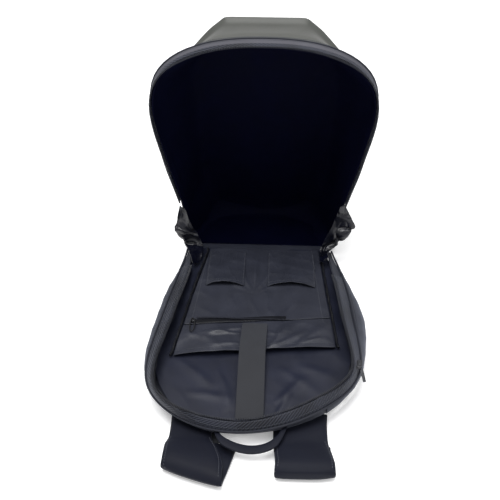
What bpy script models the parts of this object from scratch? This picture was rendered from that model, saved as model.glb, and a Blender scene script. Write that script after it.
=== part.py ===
"""Motorcycle backpack with a hard shell, opened and lying on its back panel.

Metres. +X is to the right, +Y points from the top end to the hinge, and +Z is up.
The pieces are built with the floor at z = 0 and the hinge line at y = 0: the tray lies at -Y and the lid
stands on the hinge. They are then moved together, so that the origin is under the lumbar pad's middle.
Table columns called share are shares of the named size in their heading.
"""

import math

import bmesh
import bpy
import numpy as np

# Clearance between neighbouring pieces, and the distance at which a cord's end points are joined
GAP = 0.00035
WELD = 0.00001

# Tray: the soft half that lies on the floor
TRAY_LENGTH = 0.426
TRAY_HALF_WIDTH = 0.178
TRAY_DEPTH = 0.049
WALL_THICK = 0.0028
WALL_TURN_IN = 0.0045
WALL_SWELL = 0.0028
SIDE_PANEL_THICK = 0.0012
SIDE_PANEL_SWELL = 0.0012
LINING_THICK = 0.0012
LINING_TURN_IN = 0.985
TAPE_WIDTH = 0.016
TAPE_THICK = 0.0011
COIL_RADIUS = 0.0017
PIPING_RADIUS = 0.0016
TRAY_STATIONS = 41
TRAY_ZIP_FIRST = 3

# Back: what lies between the tray and the floor
PAD_HEIGHT = 0.01465
LUMBAR_HALF_WIDTH = 0.105
LUMBAR_LENGTH = 0.17
LUMBAR_MIDDLE = 0.282
UPPER_PAD_HALF_WIDTH = 0.026
UPPER_PAD_LENGTH = 0.145
UPPER_PAD_MIDDLE = 0.734
PAD_EDGE = 0.004
BACK_THICK = 0.0085
BACK_FAR = 0.032
FLOOR_FAR = 0.038
BACK_INSET = 0.0048
BACK_LOW = PAD_HEIGHT + GAP
BACK_HIGH = BACK_LOW + BACK_THICK

# Organiser inside the tray
FLOOR_LIFT = 0.003
FLOOR_INSET = 0.0088
FLOOR_FOLD = 0.0016
ORGANISER_LIFT = 0.0083
ORGANISER_FAR = 0.022
ORGANISER_SEAM = 0.21
ORGANISER_NEAR = 0.278
ORGANISER_SKEW = 0.1
SKEW_START = 0.14
SEAM_GAP = 0.0025
CLOTH_THICK = 0.0014
ORGANISER_SLACK = 0.0022
SLEEVE_PUFF = 0.0075
BINDING_RADIUS = 0.002
BINDING_RUFFLE = 0.0009
POCKET_PUFF = 0.0075
POCKET_THICK = 0.0013
SLIT_TAPE_WIDTH = 0.008
SLIT_TAPE_THICK = 0.0007
SLIT_COIL_RADIUS = 0.0013
SLIT_SLIDER = (0.0084, 0.006, 0.004)
SLIT_PULL_LENGTH = 0.03
SLIT_PULL_WIDTH = 0.0084
SLIT_PULL_RADIUS = 0.0011
SLIT_PULL_STEPS = 12
STRAP_WIDTH = 0.041
STRAP_THICK = 0.002
STRAP_RISE = 0.0108
STRAP_FAR = 0.2185
STRAP_NEAR = 0.396

# Lid: the hard half that stands at the hinge
LID_LENGTH = 0.444
LID_HALF_WIDTH = 0.1775
LID_FACET_DEPTH = 0.143
LID_PANEL_RISE = 0.005
LID_PANEL_INSET = 0.022
LID_OPEN = math.radians(80)
LID_SHIFT = 0.005
HINGE_HEIGHT = 0.0114
FLOOR_CLEAR = 0.0002
SHELL_THICK = 0.003
SHELL_EDGE = 0.0225
LID_LINING_THICK = 0.0016
LID_LINING_INSET = 0.0064
LID_LINING_EDGE = 0.0025
LID_LINING_FRONT = 0.0095
LID_LINING_RISE = 0.0103
LID_LINING_TAPER = 0.01
BAND_THICK = 0.0026
BAND_NEAR = 0.0085
BAND_FAR = 0.0195
LID_TAPE_NEAR = 0.0008
LID_TAPE_THICK = 0.001
LID_COIL_RADIUS = 0.0016
LID_PIPING_RADIUS = 0.0011
LID_ZIP_FIRST = 4

# Hinge and gussets
HINGE_HALF_WIDTH = 0.6966 * TRAY_HALF_WIDTH
HINGE_CLOTH = 0.002
HINGE_LINING = 0.001
HINGE_PLEAT = 0.001
HINGE_SHIFT = 0.002
GUSSET_CLOTH = 0.0016
GUSSET_FOLD = 0.02

# Carrying parts
HANDLE_HALF_WIDTH = 0.007
HANDLE_THICK = 0.005
SHOULDER_THICK = 0.01
WEBBING_WIDTH = 0.024
WEBBING_THICK = 0.002
MAIN_SLIDER = (0.008, 0.015, 0.0044)
MAIN_PULL = (0.005, 0.019, 0.0016)
SLIDER_EDGE = 0.0008

# Coil line of the tray's zipper, from the hinge's left end round the top end to its right end.
# Columns: share of TRAY_HALF_WIDTH, share of TRAY_LENGTH, share of TRAY_DEPTH above the back panel
TRAY_RIM = (
    (-0.713, 0.033, 0.143), (-0.697, 0.124, 0.367), (-0.685, 0.230, 0.571), (-0.713, 0.364, 0.735),
    (-0.753, 0.486, 0.837), (-0.787, 0.615, 0.918), (-0.831, 0.728, 0.918), (-0.843, 0.819, 0.878),
    (-0.803, 0.887, 0.816), (-0.697, 0.932, 0.755), (-0.551, 0.960, 0.694), (-0.365, 0.979, 0.612),
    (-0.090, 0.986, 0.531), (0.124, 0.967, 0.551), (0.382, 0.930, 0.673), (0.635, 0.876, 0.837),
    (0.775, 0.836, 0.918), (0.837, 0.784, 0.959), (0.843, 0.725, 1.0), (0.826, 0.657, 1.0),
    (0.803, 0.582, 1.0), (0.781, 0.493, 0.959), (0.764, 0.357, 0.837), (0.736, 0.237, 0.633),
    (0.719, 0.117, 0.388), (0.719, 0.033, 0.143),
)

# Widest line of the tray's wall, in the same order and columns
TRAY_WIDE = (
    (-0.747, 0.028, 0.082), (-0.747, 0.089, 0.163), (-0.770, 0.164, 0.224), (-0.826, 0.242, 0.265),
    (-0.888, 0.340, 0.306), (-0.916, 0.458, 0.327), (-0.949, 0.575, 0.327), (-0.961, 0.685, 0.327),
    (-0.927, 0.770, 0.327), (-0.871, 0.836, 0.306), (-0.758, 0.894, 0.286), (-0.629, 0.939, 0.265),
    (-0.483, 0.972, 0.245), (-0.309, 0.995, 0.224), (-0.073, 1.0, 0.204), (0.146, 0.988, 0.204),
    (0.348, 0.962, 0.245), (0.528, 0.927, 0.265), (0.674, 0.883, 0.306), (0.798, 0.826, 0.327),
    (0.893, 0.768, 0.347), (0.949, 0.702, 0.367), (0.978, 0.622, 0.367), (1.0, 0.528, 0.367),
    (0.989, 0.434, 0.347), (0.955, 0.357, 0.327), (0.893, 0.263, 0.286), (0.826, 0.169, 0.224),
    (0.770, 0.089, 0.163), (0.753, 0.028, 0.082),
)

# Right half of the lid's rim. Columns: share of LID_HALF_WIDTH, share of LID_LENGTH from the hinge
LID_RIM = (
    (0.783, 0.027), (0.794, 0.113), (0.806, 0.203), (0.834, 0.304), (0.890, 0.412), (0.952, 0.563),
    (0.997, 0.687), (1.0, 0.759), (0.969, 0.822), (0.907, 0.872), (0.823, 0.910), (0.654, 0.955),
    (0.417, 0.989), (0.203, 0.998), (0.0, 1.0),
)

# Corners of the shell's front facet, right half, in the same columns
LID_FRONT = ((0.541, -0.014), (0.727, 0.191), (0.715, 0.770), (0.524, 0.860), (0.372, 0.912))

# Rows of the rim that the facet's corners face, and the number of steps from each to the next
RIM_KEYS = (0, 2, 8, 11, 13)
KEY_STEPS = (3, 8, 3, 2)
TOP_STEPS = 4
BOTTOM_STEPS = 6

# Rings of the shell. Columns: share of LID_FACET_DEPTH, share of the way from the rim's outline to the
# facet's, the same added at the shoulders, side swell as a factor, height above the floor
SHELL_RINGS = (
    (0.157, 0.0, 0.0, 1.01, 0.0012),
    (0.308, 0.08, 0.28, 1.035, FLOOR_CLEAR),
    (0.881, 0.92, 0.07, 1.03, FLOOR_CLEAR),
)
FACET_HEIGHT = 0.01
SHOULDER_SPAN = (0.777, 0.856, 0.957, 0.991)
RING_DROP = 0.08

# Sides of the organiser. Columns: share of TRAY_LENGTH, left and right shares of TRAY_HALF_WIDTH
ORGANISER_SIDES = (
    (0.0, -0.500, 0.612), (0.080, -0.511, 0.618), (0.171, -0.545, 0.629), (0.376, -0.624, 0.669),
    (0.657, -0.714, 0.719), (0.690, -0.730, 0.725),
)

# Small pockets. Columns: name, left, right and corner shift as shares of TRAY_HALF_WIDTH,
# far end and mouth as shares of TRAY_LENGTH
POCKETS = (("left", -0.506, -0.129, 0.080, 0.300), ("right", 0.096, 0.567, 0.080, 0.296))

# Sleeve strap. Columns: share of the way from its far to its near end, share of STRAP_RISE
STRAP_SHAPE = (
    (0.0, -0.06), (0.085, 0.25), (0.2, 0.64), (0.32, 0.93), (0.415, 1.0), (0.53, 0.91), (0.67, 0.62),
    (0.80, 0.22), (0.905, -0.22), (1.0, -0.59),
)

# Folds of a gusset between the lid's edge and the tray's. Columns: share of the way, then for the lower,
# middle and upper point the shift outwards, away from the viewer and up, as shares of GUSSET_FOLD
GUSSET_FOLDS = {
    "left": (
        (0.25, (0.15, -0.05, 0.02), (0.70, 0.15, -0.65), (0.93, 0.50, -1.25)),
        (0.50, (0.25, -0.05, 0.05), (0.43, 0.20, -0.55), (0.68, 0.70, -1.05)),
        (0.75, (0.15, 0.0, 0.08), (-0.55, 0.05, -0.35), (-0.70, 0.30, -1.0)),
    ),
    "right": (
        (0.25, (0.15, -0.05, 0.02), (0.20, 0.15, 0.05), (1.45, 0.75, -1.25)),
        (0.50, (0.25, -0.05, 0.05), (0.00, 0.20, -0.45), (0.30, 0.80, -1.00)),
        (0.75, (0.15, 0.0, 0.08), (-0.50, 0.05, -0.40), (-0.70, 0.30, -1.05)),
    ),
}

# Edges that the gussets join. Columns: name, lid's three points as half width and distance in shares of
# LID_HALF_WIDTH and LID_LENGTH, tray's three points in the columns of TRAY_RIM
GUSSET_EDGES = (
    ("left", ((0.760, 0.030), (0.772, 0.148), (0.8, 0.269)),
     ((-0.690, 0.036, 0.235), (-0.657, 0.131, 0.500), (-0.640, 0.197, 0.663))),
    ("right", ((0.758, 0.030), (0.769, 0.154), (0.794, 0.285)),
     ((0.700, 0.036, 0.235), (0.691, 0.131, 0.531), (0.691, 0.197, 0.704))),
)
GUSSET_AHEAD = LID_LINING_EDGE - GUSSET_CLOTH / 2 - GAP

# Carry handle. Columns: share of TRAY_HALF_WIDTH, reach beyond the tray, height above the back's underside
HANDLE_ROUTE = (
    (-0.292, 0.0008, 0.0085), (-0.242, 0.0115, 0.0095), (-0.140, 0.021, 0.0075), (0.0, 0.0248, 0.005),
    (0.135, 0.021, 0.0075), (0.219, 0.010, 0.0095), (0.270, -0.003, 0.009),
)

# Shoulder straps. Columns: name, x and half width at the root, x and half width at the fold,
# slant of the fold and x of the lower end as shares of TRAY_HALF_WIDTH, reach of the fold beyond the tray
SHOULDER_STRAPS = (
    ("left", (-0.489, 0.180, -0.447, 0.244, -0.146, -0.309), 0.061),
    ("right", (0.399, 0.2275, 0.427, 0.239, 0.0056, 0.427), 0.054),
)
ROOT_TUCK = 0.048
LOWER_END = 0.003
WEBBING_CORNER = 0.719 * TRAY_HALF_WIDTH

COLOURS = {
    "nylon": ((0.028, 0.029, 0.034), 0.75, 0.0),
    "panel": ((0.040, 0.041, 0.046), 0.85, 0.0),
    "satin": ((0.040, 0.047, 0.062), 0.45, 0.0),
    "tape": ((0.045, 0.046, 0.052), 0.80, 0.0),
    "shell": ((0.020, 0.020, 0.022), 0.55, 0.0),
    "band": ((0.120, 0.115, 0.130), 0.80, 0.0),
    "dark": ((0.008, 0.009, 0.016), 0.70, 0.0),
    "strap": ((0.030, 0.031, 0.040), 0.60, 0.0),
    "webbing": ((0.045, 0.047, 0.045), 0.85, 0.0),
    "metal": ((0.25, 0.25, 0.26), 0.35, 0.9),
}


# Scene and materials


def clear():
    for found in list(bpy.data.objects):
        bpy.data.objects.remove(found, do_unlink=True)


def material(name):
    found = bpy.data.materials.get(name)
    if found:
        return found
    colour, roughness, metallic = COLOURS[name]
    made = bpy.data.materials.new(name)
    made.use_nodes = True
    shader = made.node_tree.nodes["Principled BSDF"]
    shader.inputs["Base Color"].default_value = (*colour, 1)
    shader.inputs["Roughness"].default_value = roughness
    shader.inputs["Metallic"].default_value = metallic
    return made


def place(name, data, look):
    made = bpy.data.objects.new(name, data)
    made.data.materials.append(material(look))
    bpy.context.scene.collection.objects.link(made)
    return made


def solidify(made, thick, side):
    """Gives a surface its thickness: side 1 builds on its outer face, -1 on its inner face."""
    added = made.modifiers.new("Thickness", "SOLIDIFY")
    added.thickness = thick
    added.offset = side
    return made


# Lines and surfaces


def spline(rows, samples=30):
    """Smooth line through the rows, as a dense polyline."""
    p = np.asarray(rows, float)
    ends = np.vstack([2 * p[0] - p[1], p, 2 * p[-1] - p[-2]])
    found = []
    for a, b, c, d in zip(ends, ends[1:], ends[2:], ends[3:]):
        for t in np.linspace(0, 1, samples, endpoint=False):
            cubic = 2 * b + (c - a) * t + (2 * a - 5 * b + 4 * c - d) * t**2 + (3 * b - a - 3 * c + d) * t**3
            found.append(cubic / 2)
    return np.array(found + [p[-1]])


def run_of(line):
    """Distance along a polyline at each of its points."""
    return np.concatenate([[0], np.cumsum(np.linalg.norm(np.diff(line, axis=0), axis=1))])


def at(line, shares):
    """Points of a polyline at the given shares of its length. Columns after the third only follow."""
    line = np.asarray(line, float)
    run = run_of(line[:, :3])
    where = np.asarray(shares) * run[-1]
    return np.stack([np.interp(where, run, line[:, k]) for k in range(line.shape[1])], -1)


def evenly(line, count):
    return at(line, np.linspace(0, 1, count))


def bend_shares(line, count, pull=3.0):
    """Shares of a line's length, closer together where it bends."""
    dense = evenly(line, 400)
    way = np.diff(dense, axis=0)
    way /= np.linalg.norm(way, axis=1)[:, None]
    turn = np.linalg.norm(np.diff(way, axis=0), axis=1)
    turn = np.concatenate([[turn[0]], turn, [turn[-1]]])
    turn = np.convolve(np.pad(turn, 12, mode="edge"), np.ones(25) / 25, mode="valid")
    weight = 1 + pull * turn / turn.mean()
    run = np.concatenate([[0], np.cumsum(weight[:-1])])
    return np.interp(np.linspace(0, run[-1], count), run, np.linspace(0, 1, len(run)))


def unit(rows):
    return rows / np.linalg.norm(rows, axis=-1)[..., None]


def normals(grid):
    return unit(np.cross(np.gradient(grid, axis=0), np.gradient(grid, axis=1)))


def facing(grid, towards):
    """The grid's rows in the order whose faces look the way of a direction."""
    return grid if (normals(grid) @ np.asarray(towards, float)).mean() > 0 else grid[::-1]


def surface(name, rows, look, ring=False, cap=None):
    """Mesh through rows of points. A ring's rows are closed, and a cap is the centre point of its last row."""
    work = bmesh.new()
    grid = [[work.verts.new(point) for point in row] for row in rows]
    across = len(rows[0])
    for row, after in zip(grid, grid[1:]):
        for j in range(across if ring else across - 1):
            k = (j + 1) % across
            work.faces.new((row[j], after[j], after[k]))
            work.faces.new((row[j], after[k], row[k]))
    if cap is not None:
        tip = work.verts.new(cap)
        last = grid[-1]
        for j in range(across):
            work.faces.new((last[j], tip, last[(j + 1) % across]))
    mesh = bpy.data.meshes.new(name)
    work.to_mesh(mesh)
    work.free()
    mesh.shade_smooth()
    return place(name, mesh, look)


def sweep(name, sections, look):
    """Closed solid through section loops, with flat ends."""
    work = bmesh.new()
    loops = [[work.verts.new(point) for point in loop] for loop in sections]
    around = len(sections[0])
    for loop, after in zip(loops, loops[1:]):
        for j in range(around):
            k = (j + 1) % around
            work.faces.new((loop[j], after[j], after[k]))
            work.faces.new((loop[j], after[k], loop[k]))
    work.faces.new(loops[0])
    work.faces.new(loops[-1][::-1])
    bmesh.ops.recalc_face_normals(work, faces=work.faces)
    mesh = bpy.data.meshes.new(name)
    work.to_mesh(mesh)
    work.free()
    mesh.shade_smooth()
    return place(name, mesh, look)


def cord(name, line, radius, look, closed=False):
    """Round cord along a line of points."""
    data = bpy.data.curves.new(name, "CURVE")
    data.dimensions = "3D"
    data.bevel_depth = radius
    data.bevel_resolution = 1
    data.use_fill_caps = True
    strand = data.splines.new("POLY")
    strand.points.add(len(line) - 1)
    for point, where in zip(strand.points, line):
        point.co = (*where, 1)
    strand.use_cyclic_u = closed
    made = place(name, data, look)
    join = made.modifiers.new("Caps", "WELD")
    join.merge_threshold = WELD
    return made


def block(name, centre, size, look, edge, turn=(0, 0, 0)):
    """Box with cut edges."""
    work = bmesh.new()
    bmesh.ops.create_cube(work, size=1)
    bmesh.ops.scale(work, vec=size, verts=work.verts)
    mesh = bpy.data.meshes.new(name)
    work.to_mesh(mesh)
    work.free()
    made = place(name, mesh, look)
    made.location = centre
    made.rotation_euler = turn
    cut = made.modifiers.new("Edges", "BEVEL")
    cut.width = edge
    cut.segments = 1
    return made


# Tray


def tray_point(x, y, z):
    """World position from shares of the tray's sizes."""
    return np.array([x * TRAY_HALF_WIDTH, -y * TRAY_LENGTH, BACK_LOW + z * TRAY_DEPTH])


def tray_grid():
    """Outside of the tray: stations round it, and seven lines from the coil down to the back panel."""
    rim = spline([tray_point(*row) for row in TRAY_RIM])
    wide = spline([tray_point(*row) for row in TRAY_WIDE])
    shares = bend_shares(wide, TRAY_STATIONS)
    top, widest = at(rim, shares), at(wide, shares)
    way = np.gradient(widest, axis=0)
    out = unit(np.stack([-way[:, 1], way[:, 0], np.zeros(TRAY_STATIONS)], -1))
    out *= np.sign((out * (widest - widest.mean(0))).sum(1))[:, None]
    low = widest - out * WALL_TURN_IN
    low[:, 2] = BACK_LOW + GAP / 2
    shoulder = 0.52 * top + 0.48 * widest + out * WALL_SWELL
    shoulder[:, 2] += 0.1 * (top[:, 2] - widest[:, 2])
    grid = []
    for points in zip(top, shoulder, widest, low):
        line = spline(points, 12)
        length = run_of(line)[-1]
        tape = min(TAPE_WIDTH / length, 0.45)
        seam = tape + 2.2 * (PIPING_RADIUS + GAP) / length * 0.25
        rest = 1 - tape
        grid.append(at(line, [0, tape / 2, tape, max(seam, tape + 0.11), tape + 0.42 * rest, tape + 0.72 * rest, 1]))
    grid = np.array(grid)
    way = normals(grid)
    if (way * out[:, None]).sum() < 0:
        way = -way
    return grid, way


def build_tray(grid, way):
    outwards = grid if (normals(grid) * way).sum() > 0 else grid[::-1]
    solidify(surface("tray_wall", outwards, "nylon"), WALL_THICK, -1)
    zipped = slice(TRAY_ZIP_FIRST, TRAY_STATIONS - TRAY_ZIP_FIRST)
    tape = (grid + way * GAP)[zipped, :3]
    tape = tape if (normals(tape) * way[zipped, :3]).sum() > 0 else tape[::-1]
    solidify(surface("tray_zip_tape", tape, "tape"), TAPE_THICK, 1)
    down = unit(grid[:, 1] - grid[:, 0])
    cord("tray_zip_coil", (grid[:, 0] - down * (COIL_RADIUS + 1.8 * GAP))[zipped], COIL_RADIUS, "tape")
    seam = 0.5 * (grid[:, 2] + grid[:, 3]) + way[:, 2] * (PIPING_RADIUS + 2.2 * GAP)
    cord("tray_piping", seam, PIPING_RADIUS, "nylon")
    build_side_panels(grid, way)


def build_side_panels(grid, way):
    """Sewn panels outside the wall at both sides. They swell most in the middle."""
    for name, first, last, swell in (("left", 1, 14, 0.4), ("right", 26, 39, 1.0)):
        count = last - first
        ramp = np.sqrt(np.sin(np.pi * (np.arange(count) + 0.5) / count))[:, None] * np.array([0.4, 1.0, 0.6])
        lift = 1.6 * GAP + swell * SIDE_PANEL_SWELL * ramp
        part = grid[first:last, 3:6] + way[first:last, 3:6] * lift[..., None]
        part = part if (normals(part) * way[first:last, 3:6]).sum() > 0 else part[::-1]
        solidify(surface("tray_side_" + name, part, "panel"), SIDE_PANEL_THICK, 1)


def build_lining_wall(grid, way):
    """Follows the wall's inside, and turns in over the edge of the floor lining."""
    lined = slice(TRAY_ZIP_FIRST, TRAY_STATIONS - TRAY_ZIP_FIRST)
    lines = (0, 2, 3, 4, 5)
    away = way[lined][:, lines]
    inner = grid[lined][:, lines] - away * (WALL_THICK + 1.6 * GAP)
    inner[:, -1, 2] = np.maximum(inner[:, -1, 2], BACK_HIGH + FLOOR_LIFT)
    inner[:, -1, 0] *= LINING_TURN_IN
    inner = inner if (normals(inner) * away).sum() > 0 else inner[::-1]
    solidify(surface("lining_wall", inner, "satin"), LINING_THICK, -1)


# Back and floor


def sides_at(line, y):
    """Left and right x of the tray's outline at a distance from the hinge."""
    lowest = int(np.argmin(line[:, 1]))
    left, right = line[: lowest + 1], line[lowest:]
    return np.interp(-y, -left[:, 1], left[:, 0]), np.interp(y, right[:, 1], right[:, 0])


def floor_rows(line, inset, ys, across, height):
    """Rows of points across the tray's floor, with a height for each point."""
    rows = []
    for y in ys:
        left, right = sides_at(line, y)
        rows.append([(x, y, height(x, y)) for x in np.linspace(left + inset, right - inset, across)])
    return np.array(rows)


def floor_height(x, y):
    """Floor lining, slack towards the sides."""
    fold = math.sin(42 * y + 35 * x) + 0.75 * math.sin(90 * x - 25 * y + 1.0)
    return BACK_HIGH + FLOOR_LIFT + FLOOR_FOLD * max(0.0, fold) * min(1.0, abs(x) / 0.12 + 0.2)


def build_back(grid):
    low = grid[:, 6]
    far, near = -BACK_FAR * TRAY_LENGTH, -0.962 * TRAY_LENGTH
    ys = np.concatenate([np.linspace(far, 0.87 * near, 9), [0.935 * near, 0.975 * near, near]])
    plate = floor_rows(low, BACK_INSET, ys, 7, lambda x, y: BACK_HIGH)
    for row, inset in ((0, 0.008), (1, 0.002), (-2, 0.003), (-1, 0.013)):
        plate[row, 0, 0] += inset
        plate[row, -1, 0] -= inset
    solidify(surface("back_panel", facing(plate, (0, 0, 1)), "nylon"), BACK_THICK, -1)
    for name, y, half, length in (
        ("back_pad_lumbar", LUMBAR_MIDDLE, LUMBAR_HALF_WIDTH, LUMBAR_LENGTH),
        ("back_pad_upper", UPPER_PAD_MIDDLE, UPPER_PAD_HALF_WIDTH, UPPER_PAD_LENGTH),
    ):
        centre = (0, -y * TRAY_LENGTH, PAD_HEIGHT / 2)
        block(name, centre, (2 * half, length, PAD_HEIGHT), "panel", PAD_EDGE)
    near = -0.972 * TRAY_LENGTH
    ys = np.concatenate([np.linspace(-FLOOR_FAR * TRAY_LENGTH, 0.905 * near, 9), [0.952 * near, 0.983 * near, near]])
    cloth = floor_rows(low, FLOOR_INSET, ys, 11, floor_height)
    solidify(surface("lining_floor", facing(cloth, (0, 0, 1)), "satin"), LINING_THICK, -1)


# Organiser panel, pockets and strap inside the tray


def organiser_height(x, y):
    """Soft panel over the floor, with slack between the pockets."""
    slack = math.exp(-(((x + 0.005) / 0.022) ** 2)) * math.exp(-(((y + 0.09) / 0.06) ** 2))
    wave = 0.32 * math.sin(80 * x + 30 * y) + 0.23 * math.sin(50 * y)
    return BACK_HIGH + ORGANISER_LIFT + ORGANISER_SLACK * (slack + wave)


def organiser_sides(y):
    run = [row[0] * TRAY_LENGTH for row in ORGANISER_SIDES]
    left = [row[1] * TRAY_HALF_WIDTH for row in ORGANISER_SIDES]
    right = [row[2] * TRAY_HALF_WIDTH for row in ORGANISER_SIDES]
    return np.interp(-y, run, left), np.interp(-y, run, right)


def skewed(x, y, z):
    """Point of the organiser, whose lower half sits a little askew in the tray."""
    share = min(1.0, max(0.0, (-y - SKEW_START) / (ORGANISER_SEAM - SKEW_START)))
    return x, y + ORGANISER_SKEW * share * x, z


def sleeve_height(x, y):
    """The sleeve's mouth stands a little open on both sides of the strap."""
    seam = ORGANISER_SEAM + SEAM_GAP
    share = max(0.0, (-y - seam) / (ORGANISER_NEAR - seam))
    puff = math.sqrt(math.sin(min(1.0, max(0.0, 0.5 + x / 0.26)) * math.pi))
    strap = 1 - 0.62 * math.exp(-(((x + 0.003) / 0.03) ** 2))
    folds = 0.17 * math.sin(110 * x - 90 * y) + 0.1 * math.sin(200 * x + 50 * y)
    return organiser_height(x, -seam) + CLOTH_THICK / 3 + share * SLEEVE_PUFF * (puff * strap + folds)


def build_panel(name, far, near, rows, across, height):
    grid = []
    for y in np.linspace(-far, -near, rows):
        left, right = organiser_sides(y)
        grid.append([skewed(x, y, height(x, y)) for x in np.linspace(left, right, across)])
    solidify(surface(name, facing(np.array(grid), (0, 0, 1)), "satin"), CLOTH_THICK, -1)


def build_organiser():
    build_panel("organiser_upper", ORGANISER_FAR, ORGANISER_SEAM, 9, 12, organiser_height)
    build_panel("organiser_sleeve", ORGANISER_SEAM + SEAM_GAP, ORGANISER_NEAR, 6, 13, sleeve_height)
    reach = BINDING_RADIUS + BINDING_RUFFLE + 2.6 * GAP
    for name, side, out in (("left", 0, -1), ("right", 1, 1)):
        line = []
        for k, y in enumerate(np.linspace(-ORGANISER_FAR, -ORGANISER_NEAR, 21)):
            ruffle = BINDING_RUFFLE * (-1) ** k
            x = organiser_sides(y)[side] + out * (reach + ruffle)
            z = organiser_height(x, max(y, -ORGANISER_SEAM))
            line.append(skewed(x, y, z + 0.0005 + 0.8 * ruffle))
        cord("binding_" + name, line, BINDING_RADIUS, "satin")


def build_pockets():
    """Two small pockets, each a cloth dome that stands open towards the top end."""
    for name, left, right, far, mouth in POCKETS:
        rows = []
        for share in np.linspace(0, 1, 7):
            y = -(far + (mouth - far) * share) * TRAY_LENGTH
            row = []
            for s in np.linspace(0, 1, 9):
                x = (left + (right - left) * s) * TRAY_HALF_WIDTH
                arch = math.sin(math.pi * s)
                puff = (0.16 + share**1.4) * max(0.0, arch) ** 0.6
                height = organiser_height(x, y) + 1.6 * GAP + POCKET_THICK + POCKET_PUFF * puff
                row.append((x, y + 0.0035 * arch * share, height))
            rows.append(row)
        solidify(surface("pocket_" + name, facing(np.array(rows), (0, 0, 1)), "satin"), POCKET_THICK, -1)


def build_slit():
    """Zipped slit just above the seam of the sleeve, with its slider and ring pull."""
    left, right = -0.578 * TRAY_HALF_WIDTH, 0.28 * TRAY_HALF_WIDTH
    middle = -(ORGANISER_SEAM - SLIT_TAPE_WIDTH / 2 - GAP)
    base = 2 * GAP + SLIT_TAPE_THICK
    rows = []
    for y in (middle - SLIT_TAPE_WIDTH / 2, middle, middle + SLIT_TAPE_WIDTH / 2):
        rows.append([skewed(x, y, organiser_height(x, y) + base) for x in np.linspace(left, right, 17)])
    solidify(surface("slit_tape", facing(np.array(rows), (0, 0, 1)), "tape"), SLIT_TAPE_THICK, -1)
    height = base + GAP + SLIT_COIL_RADIUS
    inner = np.linspace(left + 0.006, right - 0.004, 14)
    line = [skewed(x, middle, organiser_height(x, middle) + height) for x in inner]
    cord("slit_coil", line, SLIT_COIL_RADIUS, "tape")
    x = left - SLIT_SLIDER[0] / 2 + 0.004
    z = organiser_height(x, middle) + base + SLIT_SLIDER[2] / 2 + GAP
    spot = skewed(x, middle, z)
    block("slit_slider", spot, SLIT_SLIDER, "metal", SLIDER_EDGE)
    ring = []
    top = z + SLIT_SLIDER[2] / 2 + SLIT_PULL_RADIUS + 2 * GAP
    for k in range(SLIT_PULL_STEPS):
        a = 2 * math.pi * k / SLIT_PULL_STEPS
        across = SLIT_PULL_WIDTH / 2 * math.sin(a)
        ahead = spot[1] + 0.002 - SLIT_PULL_LENGTH / 2 * (1 - math.cos(a))
        ring.append((x + across, ahead, top - 0.0002 * (1 - math.cos(a))))
    cord("slit_pull", ring, SLIT_PULL_RADIUS, "metal", closed=True)


def build_sleeve_strap():
    """Flat strap from the panel over the sleeve's mouth to the floor at the top end."""
    rows = []
    base = BACK_HIGH + ORGANISER_LIFT + ORGANISER_SLACK * 2.1
    for share, rise in STRAP_SHAPE:
        y = -(STRAP_FAR + (STRAP_NEAR - STRAP_FAR) * share)
        left = -0.5 * STRAP_WIDTH - 0.001 - 0.002 * min(1.0, 2.5 * share)
        row = []
        for s in np.linspace(0, 1, 5):
            crown = 0.0005 * math.sin(math.pi * s)
            row.append((left + STRAP_WIDTH * s, y, base + STRAP_RISE * rise + crown))
        rows.append(row)
    solidify(surface("sleeve_strap", facing(np.array(rows), (0, 0, 1)), "webbing"), STRAP_THICK, -1)


# Lid


def lid_point(x, t, d):
    """World position from lid coordinates: across, away from the hinge, and depth behind the rim."""
    return np.array([
        x + LID_SHIFT,
        -t * math.cos(LID_OPEN) + d * math.sin(LID_OPEN),
        HINGE_HEIGHT + t * math.sin(LID_OPEN) + d * math.cos(LID_OPEN),
    ])


def lid_points(flat, d):
    return np.array([lid_point(x, t, d) for x, t in flat])


def reach_to(z, d):
    """Distance from the hinge, negative below it, at which a lid point of this depth has this height."""
    return (z - HINGE_HEIGHT - d * math.cos(LID_OPEN)) / math.sin(LID_OPEN)


def half_outline(rows, keys, smooth):
    """Half outline from the bottom to the top, with a fixed number of steps between its key rows."""
    samples = 30 if smooth else 1
    dense = spline(rows, samples) if smooth else np.asarray(rows, float)
    found = []
    for a, b, steps in zip(keys, keys[1:], KEY_STEPS):
        part = dense[a * samples : b * samples + 1]
        found += list(at(part, np.linspace(0, 1, steps, endpoint=False)))
    return np.array(found + [dense[keys[-1] * samples]]), dense[keys[-1] * samples :]


def mirrored(half):
    left = half * np.array([-1, 1])
    return np.concatenate([left, half[::-1][1:]])


def rim_arch():
    """The lid's rim from its left foot round the top to its right foot."""
    rows = np.array(LID_RIM) * np.array([LID_HALF_WIDTH, LID_LENGTH])
    half, top = half_outline(rows, RIM_KEYS, True)
    return mirrored(np.concatenate([half, evenly(top, TOP_STEPS // 2 + 1)[1:]]))


def facet_arch():
    """The front facet's outline, with as many points as the rim's."""
    rows = np.array(LID_FRONT) * np.array([LID_HALF_WIDTH, LID_LENGTH])
    half, _ = half_outline(rows, range(len(rows)), False)
    top = np.array([rows[-1], (0, rows[-1][1])])
    return mirrored(np.concatenate([half, evenly(top, TOP_STEPS // 2 + 1)[1:]]))


def closed_loop(arch, bottom):
    """The arch with a straight bottom edge from its right foot back to its left foot."""
    foot = np.linspace(arch[-1][0], arch[0][0], BOTTOM_STEPS + 1)[1:-1]
    line = arch.copy()
    line[0, 1] = line[-1, 1] = bottom
    return np.concatenate([line, [(x, bottom) for x in foot]])


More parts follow.
